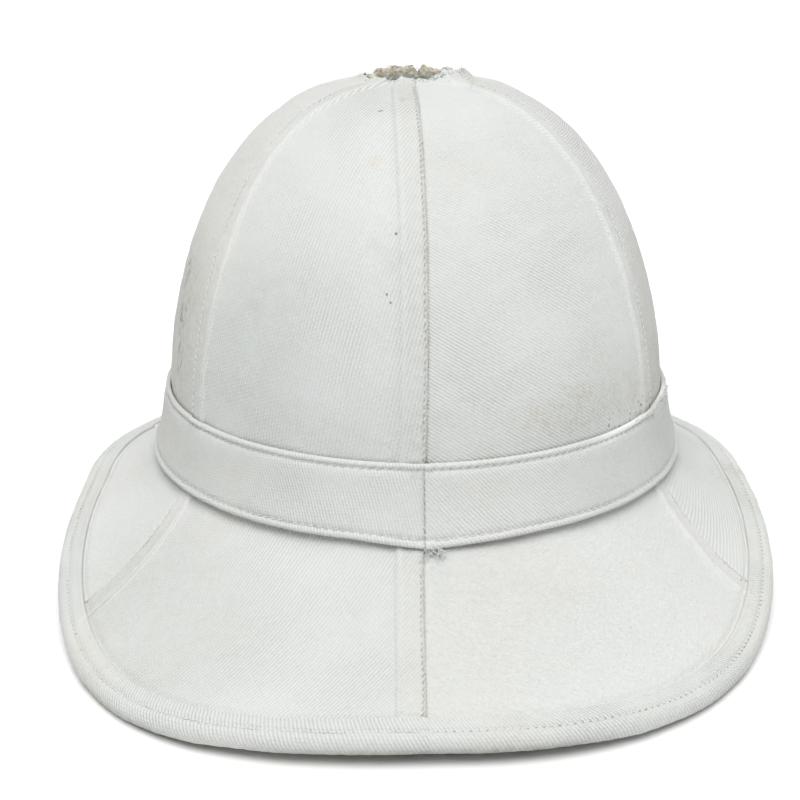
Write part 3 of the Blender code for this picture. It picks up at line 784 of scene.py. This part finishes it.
def cork_loops(columns=260):
    """Section loops of the cork, each from the bore over the lip, down under the cover and back inside."""
    noise.seed_set(43)
    angle = np.arange(columns) / columns * 2 * math.pi
    edge = CLOTH_HOLE + tear(angle, TEAR_DEPTH) - 0.9 * MM
    bore = CORK_HOLE + tear(angle + 2.0, TEAR_DEPTH)
    low = sum(depth * np.exp(-(((angle - middle) / spread) ** 2)) for middle, spread, depth in LIP_LOWS)
    crumble = lip_height(angle) - low * MM
    ring = cover_surface(np.stack([angle, angle]), np.array([[-1.0], [-0.97]]) + 0 * angle)
    up = grid_normals(ring, closed=True)[0]
    lip = []
    for share, level, crumb in (
        (0.0, -5.6, 0.0), (-0.02, -4.6, 0.0), (0.0, -3.6, 0.0), (0.02, -2.7, 0.0), (0.03, -1.9, 0.1), (0.05, -1.2, 0.25),
        (0.08, -0.7, 0.45), (0.13, -0.3, 0.65), (0.20, 0.0, 0.85), (0.30, 0.0, 0.97), (0.42, 0.0, 1.0), (0.54, 0.0, 1.0),
        (0.66, 0.0, 0.92), (0.76, 0.0, 0.78), (0.86, -0.1, 0.58), (0.94, -0.4, 0.4), (1.0, -0.8, 0.2), (1.0, -1.3, 0.0),
    ):
        radius = bore + (edge - bore) * share
        lip.append(crown_surface(angle, hole_turn(angle, radius)) + up * (level * MM + crumble * crumb)[:, None])
    lip = np.array(lip)
    for i in range(1, len(lip) - 1):
        rough = 0.42 if i > 8 else 0.18
        for j in range(columns):
            place = Vector(lip[i, j])
            lump = noise.noise_vector(place * 230) * 1.1 + noise.noise_vector(place * 520) * 0.8
            lip[i, j] += np.array(lump + noise.noise_vector(place * 1100) * 0.9) * MM * rough
    ways = np.concatenate([-1 + np.linspace(0.02, 1, 16), np.linspace(0, 1, 4)[1:], 1 + np.linspace(0, 1, 9)[1:]])
    cover = cover_surface(np.repeat(angle[None], len(ways), 0), np.repeat(ways[:, None], columns, 1))
    normal = grid_normals(cover, closed=True)
    outer = cover - normal * (CLOTH + CLEARANCE)
    depth = np.where(ways <= 1, CROWN_CORK, CROWN_CORK + (EDGE_CORK - CROWN_CORK) * np.clip((ways - 1) * 1.1, 0, 1))
    inner = outer - normal * depth[:, None, None]
    return np.concatenate([lip, outer, inner[::-1]]).transpose(1, 0, 2)


def make_cork(material):
    loops = cork_loops()
    zero = np.zeros(loops.shape[:2])
    piece = sweep("cork_body", loops, zero, zero, closed=True)
    outward(piece)
    settle(piece, material, 60.0)
    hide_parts("shell")
    return piece


# ---- the hatband ----

# down from the foot's top edge and out from its back, in millimetres, starting inside the top fold
BAND_SECTION = (
    (0.4, 0.0), (-0.05, 0.15), (-0.3, 0.55), (-0.32, 1.05), (-0.08, 1.5), (0.35, 1.78), (0.85, 1.82), (1.3, 1.62),
    (1.65, 1.32), (1.95, 1.18), (2.3, 1.28), (2.8, 1.5), (3.6, 1.64), (5.0, 1.72), (8.0, 1.78), (11.0, 1.82), (14.0, 1.82),
    (17.0, 1.8), (20.0, 1.74), (22.6, 1.66), (23.9, 1.54), (24.4, 1.34), (24.75, 1.2), (25.1, 1.34), (25.5, 1.68),
    (26.0, 1.88), (26.6, 1.84), (27.1, 1.5), (27.3, 1.0), (27.25, 0.5), (27.0, 0.12), (26.5, 0.0), (20.0, 0.0), (13.5, 0.0),
    (7.0, 0.0),
)
BAND_STEPS = 1300
BAND_TOP_ROW, BAND_LOW_ROW = 1.95, 24.75  # the stitch rows, down from the top edge
BAND_STITCH = 3.0 * MM
JOIN = -0.021  # the angle at which the right end lies over the left one


def strips_at(angle, scale):
    """How high the turnings of the seams lift the cover at this angle, at this share of the hatband's oval."""
    lift = 0.0 * angle
    for seam in range(len(GORES)):
        if not (GORES[seam - 1][2] or GORES[seam][1]):
            continue
        side = -1 if GORES[seam - 1][2] else 1
        way = (angle - seam * PITCH + math.pi) % (2 * math.pi) - math.pi
        distance = side * way * axis_distance(np.array(seam * PITCH)) * scale
        lift = lift + SEAM_RISE * smooth(distance / (1.0 * MM)) * smooth((SEAM_WIDTH + 1 * MM - distance) / (2.5 * MM))
    return lift


def band_place(angle, down, out):
    """A point on the hatband: down its face in metres, and out from the plain cover."""
    share = down / FOOT_HEIGHT
    face = foot_surface(angle, share)
    upward = foot_surface(angle, share - 0.01) - face
    around = foot_surface(angle + 0.001, share) - face
    normal = np.cross(around, upward)
    normal /= np.linalg.norm(normal, axis=-1, keepdims=True)
    rear = np.clip(np.cos(angle), 0, 1)
    from_join = ((angle - JOIN + math.pi) % (2 * math.pi) - math.pi) * CROWN_LENGTH / 2
    dip = BAND_DIP * np.clip(1 - np.where(from_join > 0, from_join / (45 * MM), -from_join / (30 * MM)), 0, 1) ** 1.3
    lift = BAND_LIFT + BAND_ARCH * rear**3
    # the top edge is drawn in against the crown, over its seams
    loose = smooth(down / (5 * MM))
    stand = (SEAM_RISE + CLEARANCE) * loose + (0.2 * MM + strips_at(angle, 1.0)) * (1 - loose)
    low = np.clip(share, 0, 1)
    point = face + normal * (stand + out + 0.35 * dip * low**3)[..., None]
    point[..., 2] += lift * low - dip * low**1.6
    return point


def band_length(angle):
    ring = foot_surface(angle, np.full_like(angle, 0.5))
    return along(ring, 0)


def make_band(material):
    angle = np.linspace(JOIN - 0.006, JOIN + 2 * math.pi + 0.016, BAND_STEPS + 1)
    section = np.array(BAND_SECTION) * MM
    a, s = np.repeat(angle[:, None], len(section), 1), np.repeat(section[None], len(angle), 0)
    length = band_length(angle)
    run = np.repeat(length[:, None], len(section), 1)
    down, out = s[..., 0].copy(), s[..., 1].copy()
    front = smooth((out - 0.3 * MM) / (0.8 * MM))
    plain = band_place(a, down, out)
    out += front * (0.18 * MM * ripple(plain, 26 * MM, 3) + 0.06 * MM * ripple(plain, 8 * MM, 7))
    down += 0.22 * MM * ripple(plain, 55 * MM, 11) * np.where(down < 13 * MM, 1.0, 0.6)
    for row, side in ((BAND_TOP_ROW, -1), (BAND_LOW_ROW, 1)):
        away = (s[..., 0] - row * MM) * side
        # each stitch pulls the cloth in, and the roll beside it swells between two of them
        phase = 2 * math.pi * (run - 0.5 * away) / BAND_STITCH + 1.5 * np.sin(run / (23 * MM))
        out -= front * 0.26 * MM * (0.5 + 0.5 * np.cos(phase)) * np.exp(-((away / (0.55 * MM)) ** 2))
        out += front * 0.13 * MM * np.cos(phase + 2.4) * np.exp(-(((away - 1.1 * MM) / (0.7 * MM)) ** 2))
        out += front * 0.07 * MM * np.cos(phase + math.pi) * np.exp(-(((away + 1.5 * MM) / (1.1 * MM)) ** 2))
    out += 0.62 * MM * smooth(1 - run / (5 * MM)) * front + 0.3 * MM * smooth(1 - run / (3 * MM))
    out -= 0.62 * MM * smooth(1 - (length[-1] - run) / (4.0 * MM)) * front
    beat = 0.5 + 0.5 * np.cos(2 * math.pi * down / (2.2 * MM))
    out -= front * 0.28 * MM * beat * np.exp(-(((run - 1.5 * MM) / (0.6 * MM)) ** 2))
    points = band_place(a, down, out)
    # the twill is steep left of the join and flatter right of it, and turns slowly on the way round
    part = (a - a[0, 0]) / (2 * math.pi)
    lean = np.radians(50 - 20 * smooth(part / 0.3) + 12 * smooth((part - 0.35) / 0.35) + 33 * smooth((part - 0.7) / 0.3))
    turn = np.concatenate([[0.0], np.cumsum(np.diff(length) * np.sin(lean[1:, 0]))])[:, None]
    u = turn - (down - 13 * MM) * np.cos(lean)
    v = run * np.cos(lean[:1]) + down * np.sin(lean)
    piece = sweep("band", points, u, v, closed=False)
    outward(piece)
    settle(piece, material, 60.0)
    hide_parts("hatband")
    return piece


# ---- the brim's binding ----

BINDING_STEPS = 1800
BINDING_STITCH_ALONG = 0.6 * MM  # in from the cover's edge


def rim_frame(angle):
    """Points of the cover's edge with the ways inwards and upwards there."""
    rows = np.array([0.9, 0.96, 1.0]) + 1
    grid = cover_surface(np.repeat(angle[None], 3, 0), np.repeat(rows[:, None], len(angle), 1))
    inward = grid[1] - grid[2]
    inward /= np.linalg.norm(inward, axis=-1, keepdims=True)
    around = np.roll(grid[2], -1, axis=0) - np.roll(grid[2], 1, axis=0)
    up = np.cross(around, inward)
    up /= np.linalg.norm(up, axis=-1, keepdims=True)
    return grid[2], inward, up


def binding_section():
    """In from the cover's edge and up from its top, round the fold, in metres, for the outer face."""
    top = SEAM_RISE + CLEARANCE + BINDING_CLOTH
    under = -(CLOTH + EDGE_CORK + 2 * CLEARANCE) - BINDING_CLOTH
    middle, radius = (top + under) / 2, (top - under) / 2
    face = [(BINDING_TOP + 0.05 * MM, top - 0.95 * MM), (BINDING_TOP + 0.2 * MM, top - 0.45 * MM), (BINDING_TOP - 0.1 * MM, top + 0.02 * MM)]
    face += [(BINDING_TOP * share, top + bulge * MM) for share, bulge in ((0.93, 0.3), (0.85, 0.26), (0.76, 0.1), (0.6, 0.08), (0.45, 0.12), (0.3, 0.0))]
    face += [(1.2 * MM, top - 0.36 * MM), (0.6 * MM, top - 0.62 * MM), (0.05 * MM, top - 0.36 * MM)]
    for step in range(1, 14):
        turn = math.pi * step / 14
        bulge = radius + 0.1 * MM
        face.append((-CLEARANCE - bulge * math.sin(turn), middle + bulge * math.cos(turn)))
    face += [(0.6 * MM, under), (2.0 * MM, under), (4.0 * MM, under), (BINDING_UNDER - 0.1 * MM, under + 0.05 * MM), (BINDING_UNDER, under + 0.5 * MM)]
    back = [(BINDING_UNDER, under + 0.95 * MM), (0.0, under + 1.0 * MM), (-2.2 * MM, middle - 1.2 * MM), (-2.2 * MM, middle + 1.2 * MM), (0.0, top - 1.05 * MM)]
    return np.array(face), np.array(back)


def make_binding(material):
    angle = np.arange(BINDING_STEPS) / BINDING_STEPS * 2 * math.pi
    rim, inward, up = rim_frame(angle)
    length = along(np.concatenate([rim, rim[:1]]), 0)
    face, back = binding_section()
    section = np.concatenate([face, back])
    across = np.concatenate([[0], np.cumsum(np.linalg.norm(np.diff(section, axis=0), axis=1))])
    run = np.repeat(length[:-1, None], len(section), 1)
    sink = np.clip((section[:, 0] + 1 * MM) / BINDING_TOP, 0, 1) * (section[:, 1] > 0)
    level = section[None, :, 1] - sink[None] * (0.95 * MM - strips_at(angle, 1.3)[:, None])
    plain = rim[:, None] + inward[:, None] * section[None, :, :1] + up[:, None] * level[..., None]
    swell = np.zeros(run.shape)
    outer = np.arange(len(section)) < len(face)
    swell += outer * (0.16 * MM * ripple(plain, 24 * MM, 2) + 0.06 * MM * ripple(plain, 7 * MM, 9))
    stitch_near = np.exp(-(((section[None, :, 0] - BINDING_STITCH_ALONG) / (0.8 * MM)) ** 2)) * (section[None, :, 1] > 0)
    phase = 2 * math.pi * run / STITCH
    swell -= outer * stitch_near * 0.34 * MM * (0.5 + 0.5 * np.cos(phase))
    beside = np.exp(-(((section[None, :, 0] - BINDING_STITCH_ALONG - 1.6 * MM) / (1.0 * MM)) ** 2)) * (section[None, :, 1] > 0)
    swell -= outer * beside * 0.07 * MM * np.cos(phase)
    # the bias cloth draws into short slanting gathers round the roll
    roll = outer * (section[None, :, 0] < 0)
    swell += roll * 0.05 * MM * np.sin(2 * math.pi * (run + 0.8 * across[None]) / (5.3 * MM) + ripple(plain, 30 * MM, 4) * 3)
    centre = np.array([-0.3 * MM, (section[:, 1].max() + section[:, 1].min()) / 2])
    away = section - centre
    flat = section[:, 0] > 0.3 * MM
    away = np.where(flat[:, None], np.stack([0 * away[:, 0], np.sign(away[:, 1])], -1), away)
    away /= np.maximum(np.linalg.norm(away, axis=1, keepdims=True), 1e-9)
    points = plain + inward[:, None] * (swell * away[None, :, 0])[..., None] + up[:, None] * (swell * away[None, :, 1])[..., None]
    slant = math.radians(60)
    u = np.repeat(length[:, None], len(section) + 1, 1)
    v = np.repeat(np.append(across, across[-1] + 1 * MM)[None], len(length), 0)
    piece = sweep("binding", points, u * math.sin(slant) - v * math.cos(slant), u * math.cos(slant) + v * math.sin(slant), closed=True)
    outward(piece)
    settle(piece, material, 60.0)
    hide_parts("brim_binding")
    return piece


# ---- stitches ----


def stitch_shape():
    """One stitch, 1 long along x and 1 across, from a small sphere with its ends filled out."""
    bpy.ops.mesh.primitive_uv_sphere_add(segments=6, ring_count=5, radius=0.5, rotation=(0, math.pi / 2, 0))
    ball = bpy.context.object
    bpy.ops.object.transform_apply(location=False, rotation=True, scale=False)
    points = np.array([v.co for v in ball.data.vertices])
    faces = [tuple(p.vertices) for p in ball.data.polygons]
    points[:, 0] = np.sign(points[:, 0]) * 0.5 * np.abs(points[:, 0] * 2) ** 0.75
    bpy.data.objects.remove(ball)
    return points, faces


STITCH_POINTS, STITCH_FACES = stitch_shape()


def low_mesh(name, points, faces, material):
    mesh = bpy.data.meshes.new(name)
    mesh.from_pydata([tuple(p) for p in points], [], faces)
    piece = bpy.data.objects.new(name, mesh)
    bpy.context.scene.collection.objects.link(piece)
    settle(piece, material, 80.0)
    return piece


def stitch_row(name, path, outward_way, pitch, material, length=0.72, width=0.45 * MM, height=0.45 * MM, slant=0.0, seed=1, hole=0.30 * MM, sink=0.0):
    """Stitches at even steps along a path of points on the cloth, with the needle's holes between them."""
    rng = random.Random(seed)
    run = along(path, 0)
    count = max(2, int(run[-1] / pitch))
    points, faces, hole_points, hole_faces = [], [], [], []
    for k in range(count):
        at = (k + 0.5) * run[-1] / count
        i = max(min(int(np.searchsorted(run, at)), len(run) - 1), 1)
        share = (at - run[i - 1]) / max(run[i] - run[i - 1], 1e-9)
        centre = path[i - 1] + (path[i] - path[i - 1]) * share
        way = path[i] - path[i - 1]
        way = way / np.linalg.norm(way)
        up = outward_way[i] - way * np.dot(outward_way[i], way)
        up = up / np.linalg.norm(up)
        side = np.cross(up, way)
        turn = slant + rng.uniform(-0.10, 0.10)
        ahead = way * math.cos(turn) + side * math.sin(turn)
        beside = side * math.cos(turn) - way * math.sin(turn)
        long = pitch * length * rng.uniform(0.88, 1.08)
        base = len(points)
        for p in STITCH_POINTS:
            points.append(centre + ahead * p[0] * long + beside * p[1] * width + up * p[2] * height)
        faces += [tuple(base + q for q in face) for face in STITCH_FACES]
        size = hole * rng.uniform(0.55, 1.25)
        base = len(hole_points)
        end = centre + way * pitch * 0.5 + side * rng.uniform(-0.08, 0.08) * MM
        for p in STITCH_POINTS:
            hole_points.append(end + way * p[0] * size * 2 + side * p[1] * size * 1.7 + up * (p[2] * size + sink))
        hole_faces += [tuple(base + q for q in face) for face in STITCH_FACES]
    low_mesh(name, points, faces, material)
    low_mesh(f"{name}_holes", hole_points, hole_faces, NEEDLE_HOLES)


def seam_stitches(material):
    """Rows beside the fold of every seam, over the crown and over the brim."""
    for seam in range(len(GORES)):
        if not (GORES[seam - 1][2] or GORES[seam][1]):
            continue
        side = -1 if GORES[seam - 1][2] else 1
        for part, ways in (("crown", np.linspace(-0.965, -0.01, 260)), ("brim", np.linspace(1.06, 1.93, 120))):
            angle = seam_angles(seam, ways)
            grid = cover_surface(np.stack([angle - 0.01, angle, angle + 0.01], 1), np.repeat(ways[:, None], 3, 1))
            normal = grid_normals(grid)[:, 1]
            around = grid[:, 2] - grid[:, 0]
            around /= np.linalg.norm(around, axis=-1, keepdims=True)
            down = along(grid[:, 1], 0)
            bead = 0.6 * MM if seam else 0.85 * MM
            path = grid[:, 1] + around * side * FOLD_STITCH + normal * (SEAM_RISE - (0.06 * MM if seam else -0.04 * MM))
            path += around * (0.14 * MM * np.sin(down / (6 * MM)))[:, None]
            stitch_row(f"stitches_seam_{seam}_{part}", path, normal, STITCH, material, width=0.5 * MM, height=bead, slant=0.35 * side, seed=seam + 3, hole=(0.13 if seam else 0.21) * MM, sink=0.06 * MM)
    # short tacks across the slanting seams close to the edge
    points, ups = [], []
    for seam, side in ((1, -1), (5, 1)):
        for way in (1.80, 1.90):
            for step in np.linspace(0, 1, 12):
                a = np.array([seam * PITCH + side * (0.2 + 3.4 * step) * MM / (150 * MM)])
                grid = cover_surface(np.stack([a - 0.01, a, a + 0.01], 1), np.full((1, 3), way))
                below = cover_surface(np.stack([a - 0.01, a, a + 0.01], 1), np.full((1, 3), way + 0.02))
                normal = grid_normals(np.concatenate([grid, below]))[0, 1]
                points.append(grid[0, 1] + normal * (SEAM_RISE + 0.05 * MM))
                ups.append(normal)
    for k in range(4):
        part = slice(k * 12, k * 12 + 12)
        stitch_row(f"tack_{k + 1}", np.array(points[part]), np.array(ups[part]), 1.5 * MM, material, length=0.9, seed=60 + k)


def band_stitches(material):
    angle = np.linspace(JOIN + 0.02, JOIN + 2 * math.pi - 0.03, 1400)
    for label, row, slant in (("top", BAND_TOP_ROW, 0.28), ("low", BAND_LOW_ROW, 0.22)):
        down = np.full_like(angle, row * MM)
        path = band_place(angle, down, np.full_like(angle, 1.3 * MM))
        above = band_place(angle, down, np.full_like(angle, 2.14 * MM)) - path
        stitch_row(f"stitches_band_{label}", path, above, BAND_STITCH, material, length=0.66, width=0.5 * MM, height=0.55 * MM, slant=slant, seed=21, hole=0.17 * MM)
    down = np.linspace(1.2, 26.4, 40) * MM
    for label, away, high in (("edge", -0.9, 2.0), ("inner", 0.9, 2.15)):
        turn = np.full_like(down, JOIN + away * MM / (CROWN_LENGTH / 2))
        path = band_place(turn, down, np.full_like(down, high * MM))
        above = band_place(turn, down, np.full_like(down, (high + 1) * MM)) - path
        if label == "edge":
            stitch_row("stitches_join", path, above, 2.2 * MM, material, length=0.75, slant=0.75, seed=30, hole=0.2 * MM)


def binding_stitches(material):
    angle = np.linspace(0, 2 * math.pi, 2000, endpoint=False)
    rim, inward, up = rim_frame(angle)
    top = SEAM_RISE + CLEARANCE + BINDING_CLOTH
    sink = (BINDING_STITCH_ALONG + 1 * MM) / BINDING_TOP * (0.95 * MM - strips_at(angle, 1.3))
    path = rim + inward * BINDING_STITCH_ALONG + up * (top - 0.66 * MM - sink)[:, None]
    stitch_row("stitches_binding", path, up, STITCH, material, length=0.66, width=0.5 * MM, height=0.6 * MM, slant=0.12, seed=41, hole=0.3 * MM)


# ---- frayed threads and fibres ----


def strands(name, starts, ways, lengths, thick, material, seed, curl=0.35):
    """Short loose fibres, each a thin bent thread."""
    rng = random.Random(seed)
    curve = bpy.data.curves.new(name, "CURVE")
    curve.dimensions = "3D"
    curve.bevel_depth = thick
    curve.bevel_resolution = 1
    curve.resolution_u = 3
    for start, way, length in zip(starts, ways, lengths):
        way = Vector(way).normalized()
        side = way.cross(Vector((rng.uniform(-1, 1), rng.uniform(-1, 1), rng.uniform(-1, 1)))).normalized()
        bend = rng.uniform(-curl, curl)
        spline = curve.splines.new("POLY")
        spline.points.add(4)
        for k, point in enumerate(spline.points):
            t = k / 4
            place = Vector(start) + way * (length * t) + side * (length * bend * t * t)
            point.co = (*place, 1.0)
            point.radius = 1.0 - 0.5 * t
    holder = bpy.data.objects.new(name, curve)
    bpy.context.scene.collection.objects.link(holder)
    select_only(holder)
    bpy.ops.object.convert(target="MESH")
    piece = bpy.context.object
    settle(piece, material, 80.0)
    return piece


def hole_edges(cloth_thread, tan_thread):
    rng = random.Random(7)
    starts, ways, lengths = [], [], []
    tan_starts, tan_ways, tan_lengths = [], [], []
    centre = Vector(HOLE_CENTRE)
    for k in range(520):
        turn = rng.uniform(0.35, 2.1) if k % 2 else rng.uniform(-math.pi, math.pi)
        angle = np.array([turn])
        point = Vector(cover_surface(angle, np.array([-1.0 + rng.uniform(0.0, 0.012)]))[0])
        inward = centre - point
        inward.z = 0
        inward.normalize()
        point.z += float(torn_flap(angle)[0]) * rng.uniform(0.75, 1.05)
        spread = Vector((rng.uniform(-1, 1), rng.uniform(-1, 1), rng.uniform(-0.5, 0.6)))
        starts.append(point + Vector((0, 0, 0.2 * MM)))
        ways.append(inward * 0.5 + spread)
        lengths.append(rng.uniform(0.6, 1.9) * MM)
    for k in range(150):
        angle = rng.uniform(0, 2 * math.pi)
        a = np.array([angle])
        radius = rng.uniform(13.5, 17.5) * MM
        point = Vector(crown_surface(a, hole_turn(a, radius))[0])
        rise = float(lip_height(a)[0])
        tan_starts.append(point + Vector((0, 0, rise * 0.5)))
        tan_ways.append(Vector((rng.uniform(-1, 1), rng.uniform(-1, 1), rng.uniform(-0.2, 0.6))))
        tan_lengths.append(rng.uniform(0.8, 1.9) * MM)
    strands("hole_threads", starts, ways, lengths, 0.14 * MM, cloth_thread, 8, curl=0.9)
    strands("hole_fibres", tan_starts, tan_ways, tan_lengths, 0.12 * MM, tan_thread, 9, curl=0.6)


def worn_band(cloth_thread):
    """The band's top fold is worn through on the right, and stands up in short ends."""
    rng = random.Random(31)
    starts, ways, lengths = [], [], []
    for k in range(170):
        angle = np.array([rng.gauss(1.13, 0.10)])
        down = rng.uniform(-0.2, 1.6) * MM
        start = band_place(angle, np.array([down]), np.array([1.6 * MM]))[0]
        starts.append(start)
        ways.append((math.sin(angle[0]) + rng.uniform(-1, 1), -math.cos(angle[0]) + rng.uniform(-1, 1), rng.uniform(-0.9, 0.9)))
        lengths.append(rng.uniform(0.5, 1.5) * MM)
    strands("band_frays", starts, ways, lengths, 0.2 * MM, cloth_thread, 32, curl=0.8)


def join_threads(cloth_thread):
    """Loose ends where the band is sewn together at the rear."""
    rng = random.Random(5)
    angle = np.array([0.0])
    low = band_place(angle, np.array([27.0 * MM]), np.array([1.6 * MM]))[0]
    starts, ways, lengths = [], [], []
    for k in range(26):
        starts.append(low + np.array([rng.uniform(-3.5, 2.5) * MM, 0, rng.uniform(-0.6, 0.4) * MM]))
        ways.append((rng.uniform(-1.2, 1.2), -0.55, rng.uniform(-0.9, 0.25)))
        lengths.append(rng.uniform(1.4, 5.2) * MM)
    strands("join_threads", starts, ways, lengths, 0.15 * MM, cloth_thread, 6, curl=0.5)


# ---- put together ----

RING = crown_surface(np.linspace(0, 2 * math.pi, 36, endpoint=False), hole_turn(np.linspace(0, 2 * math.pi, 36, endpoint=False), np.full(36, CORK_HOLE)))
HOLE_CENTRE = tuple(float(c) for c in RING.mean(axis=0))

NEEDLE_HOLES = dark_material()
cork = cork_material()
make_cork(cork)

cover_cloth = cloth_material("drill_cover", stains=STAINS, marked=True)
band_cloth = cloth_material("drill_band", rib=1.1 * MM, stains=BAND_STAINS, smooth_right=True)
binding_cloth = cloth_material("drill_binding", rib=1.12 * MM, relief=0.4 * MM, stains=BINDING_STAINS, tones=BINDING_TONES)
thread = cloth_material("sewing_thread", rib=0.5 * MM, relief=0.05 * MM, soil=0.6)
tan_thread = cloth_material("cork_fibre", rib=0.5 * MM, relief=0.05 * MM)

for number in range(len(GORES)):
    make_gore(number, cover_cloth)
make_band(band_cloth)
make_binding(binding_cloth)
seam_stitches(thread)
band_stitches(thread)
binding_stitches(thread)
hole_edges(thread, tan_thread)
worn_band(thread)
join_threads(thread)


# ---- camera, light and floor ----


def set_camera():
    distance, rise, turn, roll = 640.3 * MM, math.radians(18.99), math.radians(2.87), math.radians(0.18)
    focal, centre_x, centre_y = 1608.0, 415.25, 349.9
    target = Vector(STAND) + Vector((0, 0, 69 * MM))
    way = Vector((-math.cos(rise) * math.sin(turn), -math.cos(rise) * math.cos(turn), math.sin(rise)))
    data = bpy.data.cameras.new("camera")
    camera = bpy.data.objects.new("camera", data)
    bpy.context.scene.collection.objects.link(camera)
    back = way
    right = Vector((0, 0, 1)).cross(back).normalized()
    upward = back.cross(right)
    turned_right = right * math.cos(roll) - upward * math.sin(roll)
    turned_up = upward * math.cos(roll) + right * math.sin(roll)
    spin = Matrix((turned_right, turned_up, back)).transposed().to_4x4()
    camera.matrix_world = Matrix.Translation(target + way * distance) @ spin
    data.lens = 36.0 * focal / 800
    data.sensor_width = 36.0
    data.shift_x = -(centre_x - 400) / 800
    data.shift_y = (centre_y - 400) / 800
    data.clip_start = 0.01
    bpy.context.scene.camera = camera


def sun(name, way, strength, spread, colour=(1, 1, 1)):
    """A very soft light that falls evenly over the floor. The way points towards it."""
    data = bpy.data.lights.new(name, "SUN")
    data.energy = strength
    data.angle = math.radians(spread)
    data.color = colour
    lamp = bpy.data.objects.new(name, data)
    bpy.context.scene.collection.objects.link(lamp)
    lamp.location = Vector(way) * 2
    lamp.rotation_euler = (-Vector(way)).to_track_quat("-Z", "Y").to_euler()


def set_stage():
    bpy.ops.mesh.primitive_plane_add(size=60.0, location=(0, 0, 0))
    floor = bpy.context.object
    floor.name = "floor"
    material = bpy.data.materials.new("pale_floor")
    material.use_nodes = True
    shader = material.node_tree.nodes["Principled BSDF"]
    shader.inputs["Base Color"].default_value = (0.97, 0.97, 0.97, 1.0)
    shader.inputs["Roughness"].default_value = 0.9
    shader.inputs["Specular IOR Level"].default_value = 0.1
    floor.data.materials.append(material)
    world = bpy.data.worlds.new("studio")
    bpy.context.scene.world = world
    world.use_nodes = True
    t = Tree(world.node_tree)
    back = world.node_tree.nodes["Background"]
    parts = t.add("ShaderNodeSeparateXYZ")
    t.join(t.add("ShaderNodeTexCoord").outputs["Generated"], parts.inputs[0])
    height = t.ramp(parts.outputs[2], 0.12, 0.95)
    t.join(t.mix(height, (0.09, 0.094, 0.096, 1.0), (0.98, 1.0, 0.995, 1.0)), back.inputs["Color"])
    back.inputs["Strength"].default_value = 1.0
    sun("overhead", (-0.03, -0.35, 1.0), 1.90, 46.0, (1.0, 0.993, 0.98))
    view = bpy.context.scene.view_settings
    view.view_transform = "Standard"
    view.look = "None"


set_camera()
set_stage()
